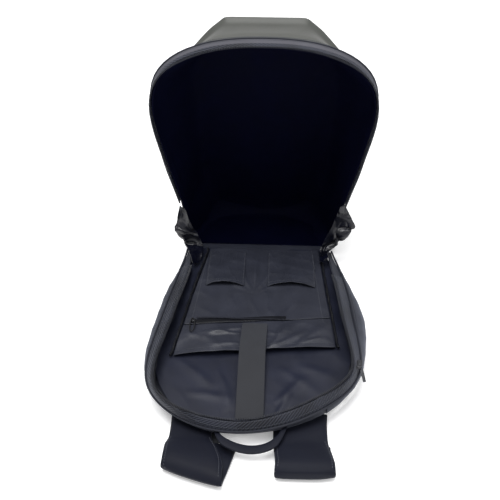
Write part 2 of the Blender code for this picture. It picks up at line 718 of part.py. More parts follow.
def inset_loop(loop, amount):
    """Loop moved inwards, corner by corner."""
    before = unit(loop - np.roll(loop, 1, axis=0))
    after = unit(np.roll(loop, -1, axis=0) - loop)
    way = unit(before + after)
    inward = np.stack([way[:, 1], -way[:, 0]], -1)
    if (inward * (loop - loop.mean(0))).sum() > 0:
        inward = -inward
    bend = np.clip((way * after).sum(1), 0.6, 1)
    return loop + inward * (amount / bend)[:, None]


def shell_rings():
    """Outside of the shell: the depth and the closed outline of each ring."""
    rim, front = rim_arch(), facet_arch()
    shoulder = np.interp(rim[:, 1], np.array(SHOULDER_SPAN) * LID_LENGTH, [0, 1, 1, 0])
    rings = []
    for depth, share, dip, swell, height in SHELL_RINGS:
        d = depth * LID_FACET_DEPTH
        mix = (share + shoulder * dip)[:, None]
        line = rim * (1 - mix) + front * mix
        line[:, 0] *= 1 + (swell - 1) * np.interp(line[:, 1] / LID_LENGTH, [0.676, 0.856], [1, 0])
        line[:, 1] -= RING_DROP * (d - SHELL_RINGS[0][0] * LID_FACET_DEPTH)
        rings.append((d, closed_loop(line, reach_to(height, d))))
    rings.append((LID_FACET_DEPTH, closed_loop(front, reach_to(FACET_HEIGHT, LID_FACET_DEPTH))))
    return rings


def build_bowl(name, rings, look, thick):
    """Hollow bowl through rings of depth and outline, open at the first ring."""
    rows = [lid_points(loop, d) for d, loop in rings]
    depth, last = rings[-1]
    centre = lid_point(0, 0.5 * (last[:, 1].min() + last[:, 1].max()), depth)
    made = surface(name, rows, look, ring=True, cap=centre)
    middle = np.mean([row.mean(0) for row in rows], axis=0)
    mesh = made.data
    outward = sum((np.array(f.center) - middle) @ np.array(f.normal) for f in mesh.polygons)
    if outward < 0:
        mesh.flip_normals()
    solidify(made, thick, -1)
    return made


def build_shell():
    rings = shell_rings()
    panel = inset_loop(rings[-1][1], LID_PANEL_INSET)
    shell = build_bowl("lid_shell", rings + [(LID_FACET_DEPTH + LID_PANEL_RISE, panel)], "shell", SHELL_THICK)
    shell.data.shade_flat()
    lining = []
    for d, height in ((LID_LINING_EDGE, HINGE_HEIGHT + LID_LINING_RISE), (0.9 * BAND_FAR, 0.5 * HINGE_HEIGHT)):
        loop = closed_loop(rim_arch(), reach_to(height, d))
        lining.append((d, inset_loop(loop, BAND_THICK + 2.2 * GAP)))
    lining.append((rings[0][0] + 0.0005, inset_loop(rings[0][1], LID_LINING_INSET)))
    lining += [(d - 0.0025, inset_loop(loop, LID_LINING_INSET)) for d, loop in rings[1:-1]]
    d, loop = rings[-1]
    lining.append((d - LID_LINING_FRONT, inset_loop(loop, LID_LINING_INSET + LID_LINING_TAPER)))
    build_bowl("lid_lining", lining, "dark", LID_LINING_THICK)


def ribbon(name, loop, depths, look, thick, part):
    """Ring of cloth along a stretch of the lid's rim, between depths."""
    rows = np.stack([lid_points(loop[part], d) for d in depths], 1)
    out = rows.mean(1) - lid_point(0, 0.5 * LID_LENGTH, depths[0])
    rows = rows if (normals(rows) * out[:, None]).sum() > 0 else rows[::-1]
    solidify(surface(name, rows, look), thick, -1)


def build_lid_edge():
    """Fabric band between the shell and the zipper, the zipper's half and the piped seam."""
    rim = rim_arch()
    whole = slice(0, len(rim))
    zipped = slice(LID_ZIP_FIRST, len(rim) - LID_ZIP_FIRST)
    ribbon("lid_band", rim, (BAND_NEAR, 0.5 * (BAND_NEAR + BAND_FAR), BAND_FAR), "band", BAND_THICK, whole)
    ribbon("lid_zip_tape", rim, (LID_TAPE_NEAR, BAND_NEAR - 1.5 * GAP), "tape", LID_TAPE_THICK, zipped)
    depth = LID_TAPE_NEAR - LID_COIL_RADIUS - GAP
    cord("lid_zip_coil", lid_points(rim[zipped], depth), LID_COIL_RADIUS, "tape")
    depth = 0.5 * (BAND_FAR + SHELL_RINGS[0][0] * LID_FACET_DEPTH)
    cord("lid_piping", lid_points(rim * (1.004, 1.0), depth), LID_PIPING_RADIUS, "nylon")


# Hinge and gussets


def build_hinge():
    """Outer and inner cloth that join the tray's floor to the lid's foot, with shallow pleats."""
    back = -BACK_FAR * TRAY_LENGTH + 3 * GAP
    low = BACK_LOW + HINGE_CLOTH + GAP
    edge_depth = SHELL_RINGS[0][0] * LID_FACET_DEPTH
    edge_height = FLOOR_CLEAR + HINGE_CLOTH + SHELL_THICK
    edge = lid_point(0, reach_to(edge_height, edge_depth), edge_depth)[1] + GAP
    outer = ((back, low), (0.15 * back, 0.7 * low), (0.4 * edge, 0.48 * low), (edge, edge_height))
    inner_height = BACK_HIGH + GAP + HINGE_LINING
    floor_edge = GAP - FLOOR_FAR * TRAY_LENGTH
    inner = tuple((floor_edge * share, inner_height) for share in (1.0, 0.67, 0.33, 0.02))
    for name, rows, half, thick, look in (
        ("hinge_panel", outer, HINGE_HALF_WIDTH, HINGE_CLOTH, "nylon"),
        ("hinge_lining", inner, 0.93 * HINGE_HALF_WIDTH, HINGE_LINING, "satin"),
    ):
        grid = []
        for i, (y, z) in enumerate(rows):
            pinch = math.sin(math.pi * i / (len(rows) - 1))
            row = []
            for j, x in enumerate(np.linspace(-half, half, 10)):
                pleat = HINGE_PLEAT * math.sin(2.1 * j) * pinch
                row.append((x + HINGE_SHIFT, y, z + max(0.0, pleat)))
            grid.append(row)
        solidify(surface(name, facing(np.array(grid), (0, 0, 1)), look), thick, -1)


def build_gussets():
    """Folded cloth at both ends of the hinge, from the lid's edge to the tray's."""
    for name, lid_edge, tray_edge in GUSSET_EDGES:
        out = -1 if name == "left" else 1
        first = [lid_point(out * x * LID_HALF_WIDTH, t * LID_LENGTH, GUSSET_AHEAD) for x, t in lid_edge]
        last = [tray_point(*row) for row in tray_edge]
        rows = [np.array(first)]
        for share, *shifts in GUSSET_FOLDS[name]:
            row = []
            for a, b, (x, y, z) in zip(first, last, shifts):
                row.append(a * (1 - share) + b * share + GUSSET_FOLD * np.array([out * x, y, z]))
            rows.append(np.array(row))
        rows.append(np.array(last))
        folds = np.array([evenly(spline(row, 12), 5) for row in rows])
        grid = np.array([evenly(spline(folds[:, k], 10), 10) for k in range(folds.shape[1])])
        grid = facing(grid, (0, -1, 0.5))
        solidify(surface("gusset_" + name, grid, "nylon"), GUSSET_CLOTH, 0)


# Carrying parts


def flat_sections(line, half_width, half_height, corner=0.7):
    """Eight-sided section loops along a line, each with its own half width and half height."""
    sections = []
    way = unit(np.gradient(line, axis=0))
    for point, forward, wide, high in zip(line, way, half_width, half_height):
        side = unit(np.cross(forward, (0, 0, 1)))
        up = np.cross(side, forward)
        loop = []
        for k in range(8):
            a = 2 * math.pi * (k + 0.5) / 8
            c = math.copysign(abs(math.cos(a)) ** corner, math.cos(a))
            s = math.copysign(abs(math.sin(a)) ** corner, math.sin(a))
            loop.append(point + side * wide * c + up * high * s)
        sections.append(loop)
    return sections


def build_handle():
    route = [(x * TRAY_HALF_WIDTH, -TRAY_LENGTH - reach, BACK_LOW + z) for x, reach, z in HANDLE_ROUTE]
    line = evenly(spline(route, 8), 13)
    full = np.sqrt(np.sin(np.linspace(0, math.pi, len(line))).clip(0))
    wide = HANDLE_HALF_WIDTH * (0.7 + 0.3 * full)
    high = 0.5 * HANDLE_THICK * (0.5 + 0.5 * full)
    sweep("carry_handle", flat_sections(line, wide, high), "strap")


def strap_section(point, side, up, half, thick):
    corners = ((-1, -0.35), (-0.93, -0.9), (0, -1), (0.93, -0.9), (1, -0.35))
    corners += tuple((-a, -b) for a, b in corners)
    return [point + side * half * a + up * thick * b for a, b in corners]


def build_shoulder_straps():
    """Padded straps that come out from under the tray, fold back and end under it."""
    half_thick = SHOULDER_THICK / 2
    under = half_thick + 0.0004
    root_height = BACK_LOW - GAP - half_thick
    top = -TRAY_LENGTH
    for name, shares, reach in SHOULDER_STRAPS:
        root, root_half, fold, fold_half, slant, end = (share * TRAY_HALF_WIDTH for share in shares)
        turn = top - reach
        lift = under + SHOULDER_THICK + 0.003
        # Columns: x, y, z, share of the slant, half width, share of the thickness
        path = (
            (root, top + ROOT_TUCK, root_height, 0.0, root_half, 1.0),
            (root, top, root_height, 0.0, root_half, 1.0),
            (0.6 * root + 0.4 * fold, top - 0.016, root_height + 0.003, 0.3, 0.4 * root_half + 0.6 * fold_half, 1.0),
            (fold, top - 0.038, lift - 0.0005, 0.7, fold_half, 1.0),
            (fold, turn + 0.012, lift + 0.0005, 1.0, fold_half, 1.0),
            (fold, turn + 0.001, lift, 1.0, fold_half, 1.0),
            (fold, turn - 0.0042, 0.5 * (lift + under), 1.0, fold_half, 1.0),
            (fold, turn + 0.001, under, 1.0, fold_half, 1.0),
            (0.8 * fold + 0.2 * end, turn + 0.014, under, 0.9, fold_half, 1.0),
            (0.5 * (fold + end), top - 0.031, 0.92 * under, 0.5, 0.97 * fold_half, 0.9),
            (0.25 * fold + 0.75 * end, top - 0.016, 0.62 * under, 0.2, 0.93 * fold_half, 0.56),
            (end, top - LOWER_END, 0.42 * under, 0.0, 0.9 * fold_half, 0.34),
        )
        line = evenly(spline(path, 8), 22)
        way = np.gradient(line[:, :3], axis=0)
        sections = []
        for i, (x, y, z, lean, half, share) in enumerate(line):
            side = np.array([1.0, slant / (2 * half) * lean, 0.0])
            forward = unit(way[i] - side * (way[i] @ side) / (side @ side))
            up = np.cross(unit(side), forward)
            thick = half_thick * (share if 1 < i < 20 else 0.84 * share)
            sections.append(strap_section(np.array([x, y, z]), side, up, half, thick))
        sweep("shoulder_strap_" + name, sections, "strap")
        build_webbing(name, end, 1 if end > 0 else -1)


def build_webbing(name, end, side):
    """Flat webbing from the strap's lower end, under the back panel to the lower corner of the tray."""
    low = WEBBING_THICK + 0.0002
    corner = side * WEBBING_CORNER
    route = (
        (end, -TRAY_LENGTH - LOWER_END + 2 * GAP, low), (end, -0.975 * TRAY_LENGTH, low),
        (0.9 * end + 0.1 * corner, -0.892 * TRAY_LENGTH, low),
        (corner, -0.563 * TRAY_LENGTH, low), (corner, -0.188 * TRAY_LENGTH, low + 0.001),
        (0.97 * corner, -0.07 * TRAY_LENGTH, BACK_LOW - 1.5 * GAP),
    )
    line = evenly(spline(route, 8), 9)
    across = unit(np.cross(np.gradient(line, axis=0), (0, 0, 1)))
    across[0] = (math.copysign(1.0, across[0][0]), 0.0, 0.0)
    across *= WEBBING_WIDTH / 2
    grid = np.stack([line - across, line + across], 1)
    solidify(surface("webbing_" + name, facing(grid, (0, 0, 1)), "webbing"), WEBBING_THICK, -1)


def build_main_slider(grid, way):
    """Slider of the main zipper, where it stopped on the right of the tray, with its hanging pull."""
    parked = tray_point(0.876, 0.779, 0.9)
    k = int(np.argmin(np.linalg.norm((grid[:, 1] - parked)[:, :2], axis=1)))
    forward = grid[k + 1, 1] - grid[k - 1, 1]
    turn = math.atan2(-forward[0], forward[1])
    spot = 0.4 * grid[k, 0] + 0.6 * grid[k, 1] + way[k, 1] * (TAPE_THICK + MAIN_SLIDER[2] / 2 + 0.0029)
    block("main_slider", spot, MAIN_SLIDER, "metal", SLIDER_EDGE, (0, 0, turn))
    hang = spot + np.array([0.0045, -0.0160, -0.0070])
    block("main_pull", hang, MAIN_PULL, "metal", SLIDER_EDGE / 2, (0.5, 0, 0.25))


def main():
    clear()
    grid, way = tray_grid()
    build_tray(grid, way)
    build_lining_wall(grid, way)
    build_back(grid)
    build_organiser()
    build_pockets()
    build_slit()
    build_sleeve_strap()
    build_shell()
    build_lid_edge()
    build_hinge()
    build_gussets()
    build_handle()
    build_shoulder_straps()
    build_main_slider(grid, way)
    for made in bpy.context.scene.objects:
        made.location.y += LUMBAR_MIDDLE * TRAY_LENGTH


main()
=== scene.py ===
"""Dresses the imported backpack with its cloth, hard shell, zippers, stitching and straps, and lights it."""

import math

import bmesh
import bpy
import numpy as np
from bpy.props import FloatProperty, FloatVectorProperty, IntProperty, PointerProperty
from mathutils import Matrix, Vector
from mathutils.bvhtree import BVHTree
from mathutils.kdtree import KDTree


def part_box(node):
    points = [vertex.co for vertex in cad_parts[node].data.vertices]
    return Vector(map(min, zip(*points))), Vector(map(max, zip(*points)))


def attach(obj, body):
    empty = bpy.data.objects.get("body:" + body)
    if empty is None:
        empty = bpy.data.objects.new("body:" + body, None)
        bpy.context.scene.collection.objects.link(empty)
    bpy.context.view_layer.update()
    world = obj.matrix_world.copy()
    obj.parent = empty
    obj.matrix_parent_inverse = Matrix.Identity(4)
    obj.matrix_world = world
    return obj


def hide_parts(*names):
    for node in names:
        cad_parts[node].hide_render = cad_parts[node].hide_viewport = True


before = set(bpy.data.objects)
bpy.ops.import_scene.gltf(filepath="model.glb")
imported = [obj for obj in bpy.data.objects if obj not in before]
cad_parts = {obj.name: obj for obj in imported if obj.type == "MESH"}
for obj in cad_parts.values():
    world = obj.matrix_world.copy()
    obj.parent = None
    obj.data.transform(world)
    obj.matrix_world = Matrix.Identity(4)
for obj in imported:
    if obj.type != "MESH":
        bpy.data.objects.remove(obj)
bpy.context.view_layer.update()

bl_info = {
    "name": "Hard Shell Backpack",
    "version": (1, 0, 0),
    "blender": (4, 5, 0),
    "location": "View3D > Sidebar > Backpack",
    "description": "Builds the cloth, shell, zippers and straps of an open backpack",
    "category": "Object",
}

# Sizes that a user has no need to change

# Name of the attribute that holds a point's way along and across its piece
WEAVE = "weave"
# Scale of a wave texture whose rows lie one metre apart
ONE_METRE_WAVE = 0.314
# Corners closer than this are one corner
MERGE_DISTANCE = 0.00002
# Largest angle and change of shape at which two triangles are paired
PAIR_ANGLE = 0.9
PAIR_SHAPE = 1.4
# Angles between faces from which an edge is a rim or a fold between facets
RIM_ANGLE = 0.9
FACET_ANGLE = 0.12
# How firmly rims and facets hold when a piece is subdivided
CLOTH_RIM = 0.85
SHELL_RIM = 0.9
SHELL_FACET = 0.35
PAD_RIM = 0.5
# Height that rays for stitches start from
ABOVE_ALL = 0.3
# Lowest point of a pad, just over the floor
PAD_BOTTOM = 0.0002
# Padding: stiffness of the solver, weight and pressure of the cloth, share of the inside that is filled
PAD_QUALITY = 4
PAD_WEIGHT = 0.3
PAD_PRESSURE = 4.0
LUMBAR_VOXEL = 0.005
UPPER_VOXEL = 0.004
# Stitches round a strap: distance from its rim, first row under the tray, distance from its fold
STRAP_SEAM = 0.0045
STRAP_SEAM_START = -0.309
STRAP_SEAM_END = 0.010
# Places of the lid's two rows of stitches, from its piping towards the shell and towards the band
SHELL_SEAM = 0.0048
BAND_SEAM = -0.0040
# Rows of stitches on the tray's tape, as shares of the way from its teeth to its piping
TAPE_SEAMS = (0.32, 0.80)
# Near edge of the sleeve at the middle, its slant, and the width of a hem
SLEEVE_EDGE = -0.1579
SLEEVE_SLANT = 0.1
HEM = 0.008
# Pleats between the small pockets: where they meet, how far they reach, and how many turn round it
PLEATS_MIDDLE = (-0.005, 0.030)
PLEATS_REACH = 0.034
PLEATS_COUNT = 13
# Gathers of the bindings: height and waves in a metre, times two pi
GATHER_HEIGHT = 0.0007
GATHER_WAVES = 1650
# Slope of the sleeve strap's near end under the tray's tape
TUCK_START = -0.245
TUCK_LENGTH = 0.03
TUCK_DEPTH = 0.010
# Handle's ends: share of its half length from which they run in under the tray, and how far
HANDLE_BEND = 0.72
HANDLE_REACH = 0.014
# Heights of the teeth, and how much their edges are cut
LID_TOOTH_HEIGHT = 0.0026
TRAY_TOOTH_HEIGHT = 0.0027
TOOTH_EDGE = 0.0003
# Teeth of the slit's zipper: pitch, size and cut edge
SLIT_PITCH = 0.0018
SLIT_TOOTH = (0.0011, 0.0029, 0.0019)
SLIT_TOOTH_EDGE = 0.0002
# Rounding of the sliders' edges
SLIDER_EDGE = 0.00035
# Gussets: squares of the sheet along and across it, and its thickness
GUSSET_ROWS = 72
GUSSET_COLUMNS = 36
GUSSET_THICKNESS = 0.0009
# Quilting of the back panel: height, and waves in a metre, times two pi
QUILT_HEIGHT = 0.00015
QUILT_WAVES = 240

# Ways to turn round the tray and the lid: centre, then the two axes of the plane
TRAY_ROUND = (Vector((0.0, -0.07, 0.0)), Vector((1, 0, 0)), Vector((0, -1, 0)))
LID_ROUND = (Vector((0.005, 0.0, 0.19)), Vector((1, 0, 0)), Vector((0, 0, 1)))

# Camera: lens and sensor in millimetres, turn and tilt in degrees, and its place
LENS = 50.4
SENSOR = 36
CAMERA_TURN = 2.26
CAMERA_TILT = 39.4
CAMERA_PLACE = (0.0227, -0.907868, 0.856)
# Lamps. Columns: name, place, width, power
LAMPS = (
    ("key", (-0.35, -0.45, 2.3), 1.1, 46),
    ("fill", (1.2, -0.9, 1.6), 1.0, 8),
    ("top", (0.15, 0.7, 2.3), 1.6, 20),
)
LAMPS_AIM = (0, 0, 0.15)
WORLD_STRENGTH = 0.62
FLOOR_GLOW = 0.22

# Gussets. Each has its outer edge, its middle and its inner edge, from the lid's rim to the tray's
GUSSETS = {
    "left": (
        ((-0.141, 0.097, 0.130), (-0.150, 0.098, 0.090), (-0.1535, 0.094, 0.079), (-0.140, 0.092, 0.058),
         (-0.129, 0.078, 0.038), (-0.116, 0.036, 0.050)),
        ((-0.139, 0.096, 0.127), (-0.140, 0.094, 0.084), (-0.141, 0.090, 0.068), (-0.133, 0.094, 0.046),
         (-0.122, 0.082, 0.040), (-0.112, 0.042, 0.046)),
        ((-0.1340, 0.094, 0.124), (-0.122, 0.096, 0.088), (-0.113, 0.096, 0.066), (-0.106, 0.096, 0.046),
         (-0.103, 0.090, 0.040), (-0.104, 0.052, 0.040)),
    ),
    "right": (
        ((0.149, 0.096, 0.140), (0.164, 0.098, 0.108), (0.1705, 0.094, 0.089), (0.143, 0.094, 0.072),
         (0.132, 0.080, 0.048), (0.119, 0.048, 0.052)),
        ((0.147, 0.095, 0.137), (0.152, 0.094, 0.094), (0.155, 0.089, 0.078), (0.140, 0.092, 0.054),
         (0.127, 0.082, 0.042), (0.115, 0.048, 0.047)),
        ((0.142, 0.093, 0.134), (0.133, 0.095, 0.098), (0.123, 0.095, 0.072), (0.116, 0.095, 0.050),
         (0.112, 0.090, 0.042), (0.110, 0.056, 0.041)),
    ),
}

# Cloths. Columns: material slot, colour, shares of its red, green and blue (shares below one are painted
# shade), distance between threads, height of the threads, roughness, sheen, unevenness of the colour (random
# patches, and painted highlight where the threads rise), gloss
FULL = (1, 1, 1)
CLOTHS = {
    "Outer nylon": ("nylon", "nylon", FULL, 0.0012, 0.00012, 0.72, 0.10, 0.14, 0.25),
    "Thread": ("nylon", "thread", FULL, 0.0006, 0.00004, 0.60, 0.10, 0.14, 0.25),
    "Side weave": ("panel", "nylon", FULL, 0.0017, 0.00022, 0.85, 0.14, 0.24, 0.25),
    "Satin lining": ("satin", "lining", FULL, 0.0008, 0.00005, 0.44, 0.05, 0.22, 0.34),
    # The satin lining darker and bluer: painted shade for the floor deep inside the tray.
    "Floor lining": ("satin", "lining", (0.46, 0.50, 0.68), 0.0008, 0.00005, 0.47, 0.04, 0.25, 0.24),
    # The satin lining at a fifth of its brightness: painted shade for the tray's deep walls, the gathered
    # bindings and the slit's tape.
    "Side lining": ("satin", "lining", (0.22, 0.22, 0.22), 0.0008, 0.00005, 0.42, 0.02, 0.30, 0.25),
    # Tape: the colour swings far along the ribs, painted highlight on each rib of the twill.
    "Zipper tape": ("tape", "tape", FULL, 0.0034, 0.00090, 0.60, 0.08, 0.80, 0.25),
    "Zipper teeth": ("tape", "tape", FULL, 0.0010, 0.00005, 0.42, 0.0, 0.20, 0.40),
    "Lid band": ("band", "band", FULL, 0.0011, 0.00010, 0.80, 0.0, 0.10, 0.12),
    # The lid's dark cloth, darkened further as painted shade for the inside of the lid.
    "Lid lining": ("dark", "dark", FULL, 0.0010, 0.00006, 0.70, 0.0, 0.20, 0.05),
    "Strap cloth": ("strap", "strap", FULL, 0.0009, 0.00008, 0.60, 0.05, 0.14, 0.16),
    "Strap mesh": ("strap", "gloss", FULL, 0.0030, 0.00060, 0.90, 0.05, 0.40, 0.25),
    "Webbing": ("webbing", "webbing", FULL, 0.0014, 0.00018, 0.78, 0.12, 0.14, 0.25),
}
# Cloths with ribs one way. Columns: turn of the ribs, whether they follow the piece
RIBBED = {
    "Zipper tape": ((0, 0, 0.96), True),
    "Webbing": ((0, 0, 1.571), False),
}

# Folds. Columns: start and end in the plan, width, height as a share of the folds' height
SLEEVE_FOLDS = (
    (-0.020, -0.104, -0.085, -0.135, 0.0055, 1.0),
    (-0.024, -0.118, -0.100, -0.128, 0.0045, 0.7),
    (-0.026, -0.140, -0.070, -0.158, 0.0050, 0.6),
    (-0.110, -0.118, -0.060, -0.150, 0.0070, 0.6),
    (0.020, -0.152, 0.052, -0.098, 0.0055, 1.0),
    (0.022, -0.150, 0.088, -0.112, 0.0060, 0.9),
    (0.060, -0.150, 0.115, -0.105, 0.0070, 0.6),
    (0.075, -0.142, 0.120, -0.130, 0.0045, 0.5),
    (0.022, -0.110, 0.040, -0.128, 0.0040, 0.6),
)
FLOOR_FOLDS = (
    (-0.120, -0.165, -0.060, -0.235, 0.0080, 0.7),
    (-0.060, -0.190, -0.030, -0.270, 0.0070, 0.6),
    (0.030, -0.250, 0.085, -0.205, 0.0075, 0.9),
    (0.030, -0.275, 0.060, -0.235, 0.0060, 0.8),
    (0.070, -0.180, 0.130, -0.210, 0.0080, 0.6),
    (0.040, -0.180, 0.100, -0.240, 0.0060, 0.6),
    (-0.100, -0.235, -0.030, -0.255, 0.0070, 0.7),
    (-0.130, -0.060, -0.118, -0.130, 0.0045, 0.7),
    (0.128, -0.030, 0.135, -0.120, 0.0050, 0.8),
    (-0.112, 0.060, -0.122, -0.030, 0.0040, 0.7),
)

# Settings


class BackpackColours(bpy.types.PropertyGroup):
    """Colours of the bag's cloths and hard parts."""

    nylon: FloatVectorProperty(
        name="Nylon",
        description="Outer cloth of the tray",
        subtype="COLOR",
        default=(0.0145, 0.0160, 0.0235),
    )
    lining: FloatVectorProperty(
        name="Lining",
        description="Satin cloth inside the tray",
        subtype="COLOR",
        default=(0.0205, 0.0225, 0.0330),
    )
    tape: FloatVectorProperty(
        name="Zipper tape",
        description="Ribbed tape of the zippers",
        subtype="COLOR",
        default=(0.0120, 0.0135, 0.0205),
    )
    shell: FloatVectorProperty(
        name="Hard shell",
        description="Matt face of the lid",
        subtype="COLOR",
        default=(0.044, 0.046, 0.041),
    )
    band: FloatVectorProperty(
        name="Band",
        description="Woven band round the lid",
        subtype="COLOR",
        default=(0.068, 0.068, 0.080),
    )
    # Near black: the lid's dark cloth made darker still, painted shade for the hollow inside the lid.
    dark: FloatVectorProperty(
        name="Lid lining",
        description="Dark cloth inside the lid",
        subtype="COLOR",
        default=(0.0004, 0.0008, 0.0085),
    )
    gloss: FloatVectorProperty(
        name="Gusset",
        description="Shiny cloth of the gussets",
        subtype="COLOR",
        default=(0.0016, 0.0020, 0.0060),
    )
    strap: FloatVectorProperty(
        name="Straps",
        description="Padded shoulder straps",
        subtype="COLOR",
        default=(0.0042, 0.0052, 0.0115),
    )
    webbing: FloatVectorProperty(
        name="Webbing",
        description="Woven straps",
        subtype="COLOR",
        default=(0.0215, 0.0225, 0.0265),
    )
    metal: FloatVectorProperty(
        name="Metal",
        description="Sliders and pulls",
        subtype="COLOR",
        default=(0.040, 0.041, 0.046),
    )
    thread: FloatVectorProperty(
        name="Thread",
        description="Sewing thread",
        subtype="COLOR",
        default=(0.055, 0.058, 0.070),
    )
    floor: FloatVectorProperty(
        name="Floor",
        description="Pale floor under the bag",
        subtype="COLOR",
        default=(0.93, 0.93, 0.935),
    )


class BackpackSizes(bpy.types.PropertyGroup):
    """Sizes of the sewing, the zippers and the folds."""

    stitch_pitch: FloatProperty(
        name="Stitch pitch",
        description="Length of one stitch and its space",
        default=0.0034,
        subtype="DISTANCE",
    )
    stitch_radius: FloatProperty(
        name="Thread radius",
        description="Half the thickness of the thread",
        default=0.00032,
        subtype="DISTANCE",
    )
    tooth_pitch: FloatProperty(
        name="Tooth pitch",
        description="Distance between zipper teeth",
        default=0.0024,
        subtype="DISTANCE",
    )
    tooth_width: FloatProperty(
        name="Tooth width",
        description="Width of a tooth across the zipper",
        default=0.0040,
        subtype="DISTANCE",
    )
    lining_fold: FloatProperty(
        name="Lining folds",
        description="Height of the folds in the lining",
        default=0.0032,
        subtype="DISTANCE",
    )
    gusset_fold: FloatProperty(
        name="Gusset folds",
        description="Height of the creases in the gussets",
        default=0.0034,
        subtype="DISTANCE",
    )
    pad_swell: FloatProperty(
        name="Pad swell",
        description="How far the padding may swell",
        default=0.0012,
        subtype="DISTANCE",
    )
    pad_frames: IntProperty(
        name="Pad frames",
        description="Steps of the padding's simulation",
        default=18,
    )


def colours():
    """The user's colours."""
    return bpy.context.scene.backpack_colours


def sizes():
    """The user's sizes."""
    return bpy.context.scene.backpack_sizes


# Materials


def nodes_of(name):
    """New material, its node tree and its shader."""
    made = bpy.data.materials.new(name)
    made.use_nodes = True
    tree = made.node_tree
    return made, tree, tree.nodes["Principled BSDF"]


def join(tree, start, end):
    tree.links.new(start, end)


def place(tree, turn=(0, 0, 0)):
    """Object coordinates, turned."""
    where = tree.nodes.new("ShaderNodeTexCoord")
    mapping = tree.nodes.new("ShaderNodeMapping")
    mapping.inputs["Rotation"].default_value = turn
    join(tree, where.outputs["Object"], mapping.inputs["Vector"])
    return mapping.outputs["Vector"]


def noise(tree, scale, detail=3.0):
    """Soft uneven patches, about one over the scale across."""
    made = tree.nodes.new("ShaderNodeTexNoise")
    made.inputs["Scale"].default_value = scale
    made.inputs["Detail"].default_value = detail
    join(tree, place(tree), made.inputs["Vector"])
    return made.outputs["Fac"]


def weave_way(tree, turn):
    """The piece's own directions, along and across it, turned."""
    where = tree.nodes.new("ShaderNodeAttribute")
    where.attribute_name = WEAVE
    mapping = tree.nodes.new("ShaderNodeMapping")
    mapping.inputs["Rotation"].default_value = turn
    join(tree, where.outputs["Vector"], mapping.inputs["Vector"])
    return mapping.outputs["Vector"]


def wave(tree, pitch, turn=(0, 0, 0), wobble=0.0, own=False):
    """Rows that repeat at a pitch in metres."""
    made = tree.nodes.new("ShaderNodeTexWave")
    made.inputs["Scale"].default_value = ONE_METRE_WAVE / pitch
    made.inputs["Distortion"].default_value = wobble
    made.inputs["Detail Scale"].default_value = 0.6
    join(tree, weave_way(tree, turn) if own else place(tree, turn=turn), made.inputs["Vector"])
    return made.outputs["Fac"]


def blend_values(tree, kind, *values):
    """Math on two or three values, each a number or a socket."""
    made = tree.nodes.new("ShaderNodeMath")
    made.operation = kind
    for socket, value in zip(made.inputs, values):
        if isinstance(value, (int, float)):
            socket.default_value = value
        else:
            join(tree, value, socket)
    return made.outputs[0]


def tint(tree, shader, colour, fac, low, high):
    """Base colour that varies between two shades of one colour."""
    ramp = tree.nodes.new("ShaderNodeValToRGB")
    ramp.color_ramp.elements[0].position = 0.3
    ramp.color_ramp.elements[1].position = 0.72
    ramp.color_ramp.elements[0].color = (*(c * low for c in colour), 1)
    ramp.color_ramp.elements[1].color = (*(c * high for c in colour), 1)
    join(tree, fac, ramp.inputs["Fac"])
    join(tree, ramp.outputs["Color"], shader.inputs["Base Color"])


def relief(tree, shader, height, depth, before=None):
    """Bump with its greatest depth in metres, over another one where that is given."""
    bump = tree.nodes.new("ShaderNodeBump")
    bump.inputs["Distance"].default_value = depth
    bump.inputs["Strength"].default_value = 1.0
    join(tree, height, bump.inputs["Height"])
    if before:
        join(tree, before, bump.inputs["Normal"])
    join(tree, bump.outputs["Normal"], shader.inputs["Normal"])
    return bump.outputs["Normal"]


def cloth_finish(name):
    """Woven cloth: threads both ways, or ribs one way, with soft unevenness in its colour and height, and
    the threads painted lighter where they rise as painted highlight.
    """
    colour, shares, pitch, depth, rough, sheen, spread, gloss = CLOTHS[name][1:]
    made, tree, shader = nodes_of(name)
    if name in RIBBED:
        turn, own = RIBBED[name]
        threads = wave(tree, pitch, turn, 0.4, own)
    else:
        threads = blend_values(
            tree, "MULTIPLY", wave(tree, pitch, (0, 0, 0.785)), wave(tree, pitch, (0, 0.6, -0.785))
        )
    patches = noise(tree, 28.0, 4.0)
    grain = noise(tree, 0.55 / pitch, 2.0)
    # The threads lighten the colour where they rise: painted highlight on the weave. The patches are the
    # cloth's own uneven tone.
    fine = blend_values(tree, "MULTIPLY", threads, 0.35)
    tone_and_thread_highlight = blend_values(tree, "ADD", fine, blend_values(tree, "MULTIPLY", patches, 0.75))
    tone = [c * share for c, share in zip(getattr(colours(), colour), shares)]
    tint(tree, shader, tone, tone_and_thread_highlight, 1 - spread, 1 + spread)
    first = relief(tree, shader, threads, depth)
    relief(tree, shader, grain, depth * 0.6, first)
    rougher = blend_values(tree, "MULTIPLY_ADD", patches, 0.12, rough - 0.06)
    join(tree, rougher, shader.inputs["Roughness"])
    shader.inputs["Sheen Weight"].default_value = sheen
    shader.inputs["Sheen Roughness"].default_value = 0.45
    shader.inputs["Sheen Tint"].default_value = (0.72, 0.78, 1.0, 1.0)
    shader.inputs["Specular IOR Level"].default_value = gloss
    return made


def shell_finish():
    """Matt hard shell with a fine grain."""
    made, tree, shader = nodes_of("Hard shell")
    grain = noise(tree, 1500.0, 2.0)
    patches = noise(tree, 9.0, 5.0)
    tint(tree, shader, colours().shell, patches, 0.9, 1.12)
    relief(tree, shader, grain, 0.00012)
    worn = blend_values(tree, "MULTIPLY_ADD", patches, 0.16, 0.40)
    join(tree, worn, shader.inputs["Roughness"])
    shader.inputs["Specular IOR Level"].default_value = 0.5
    return made


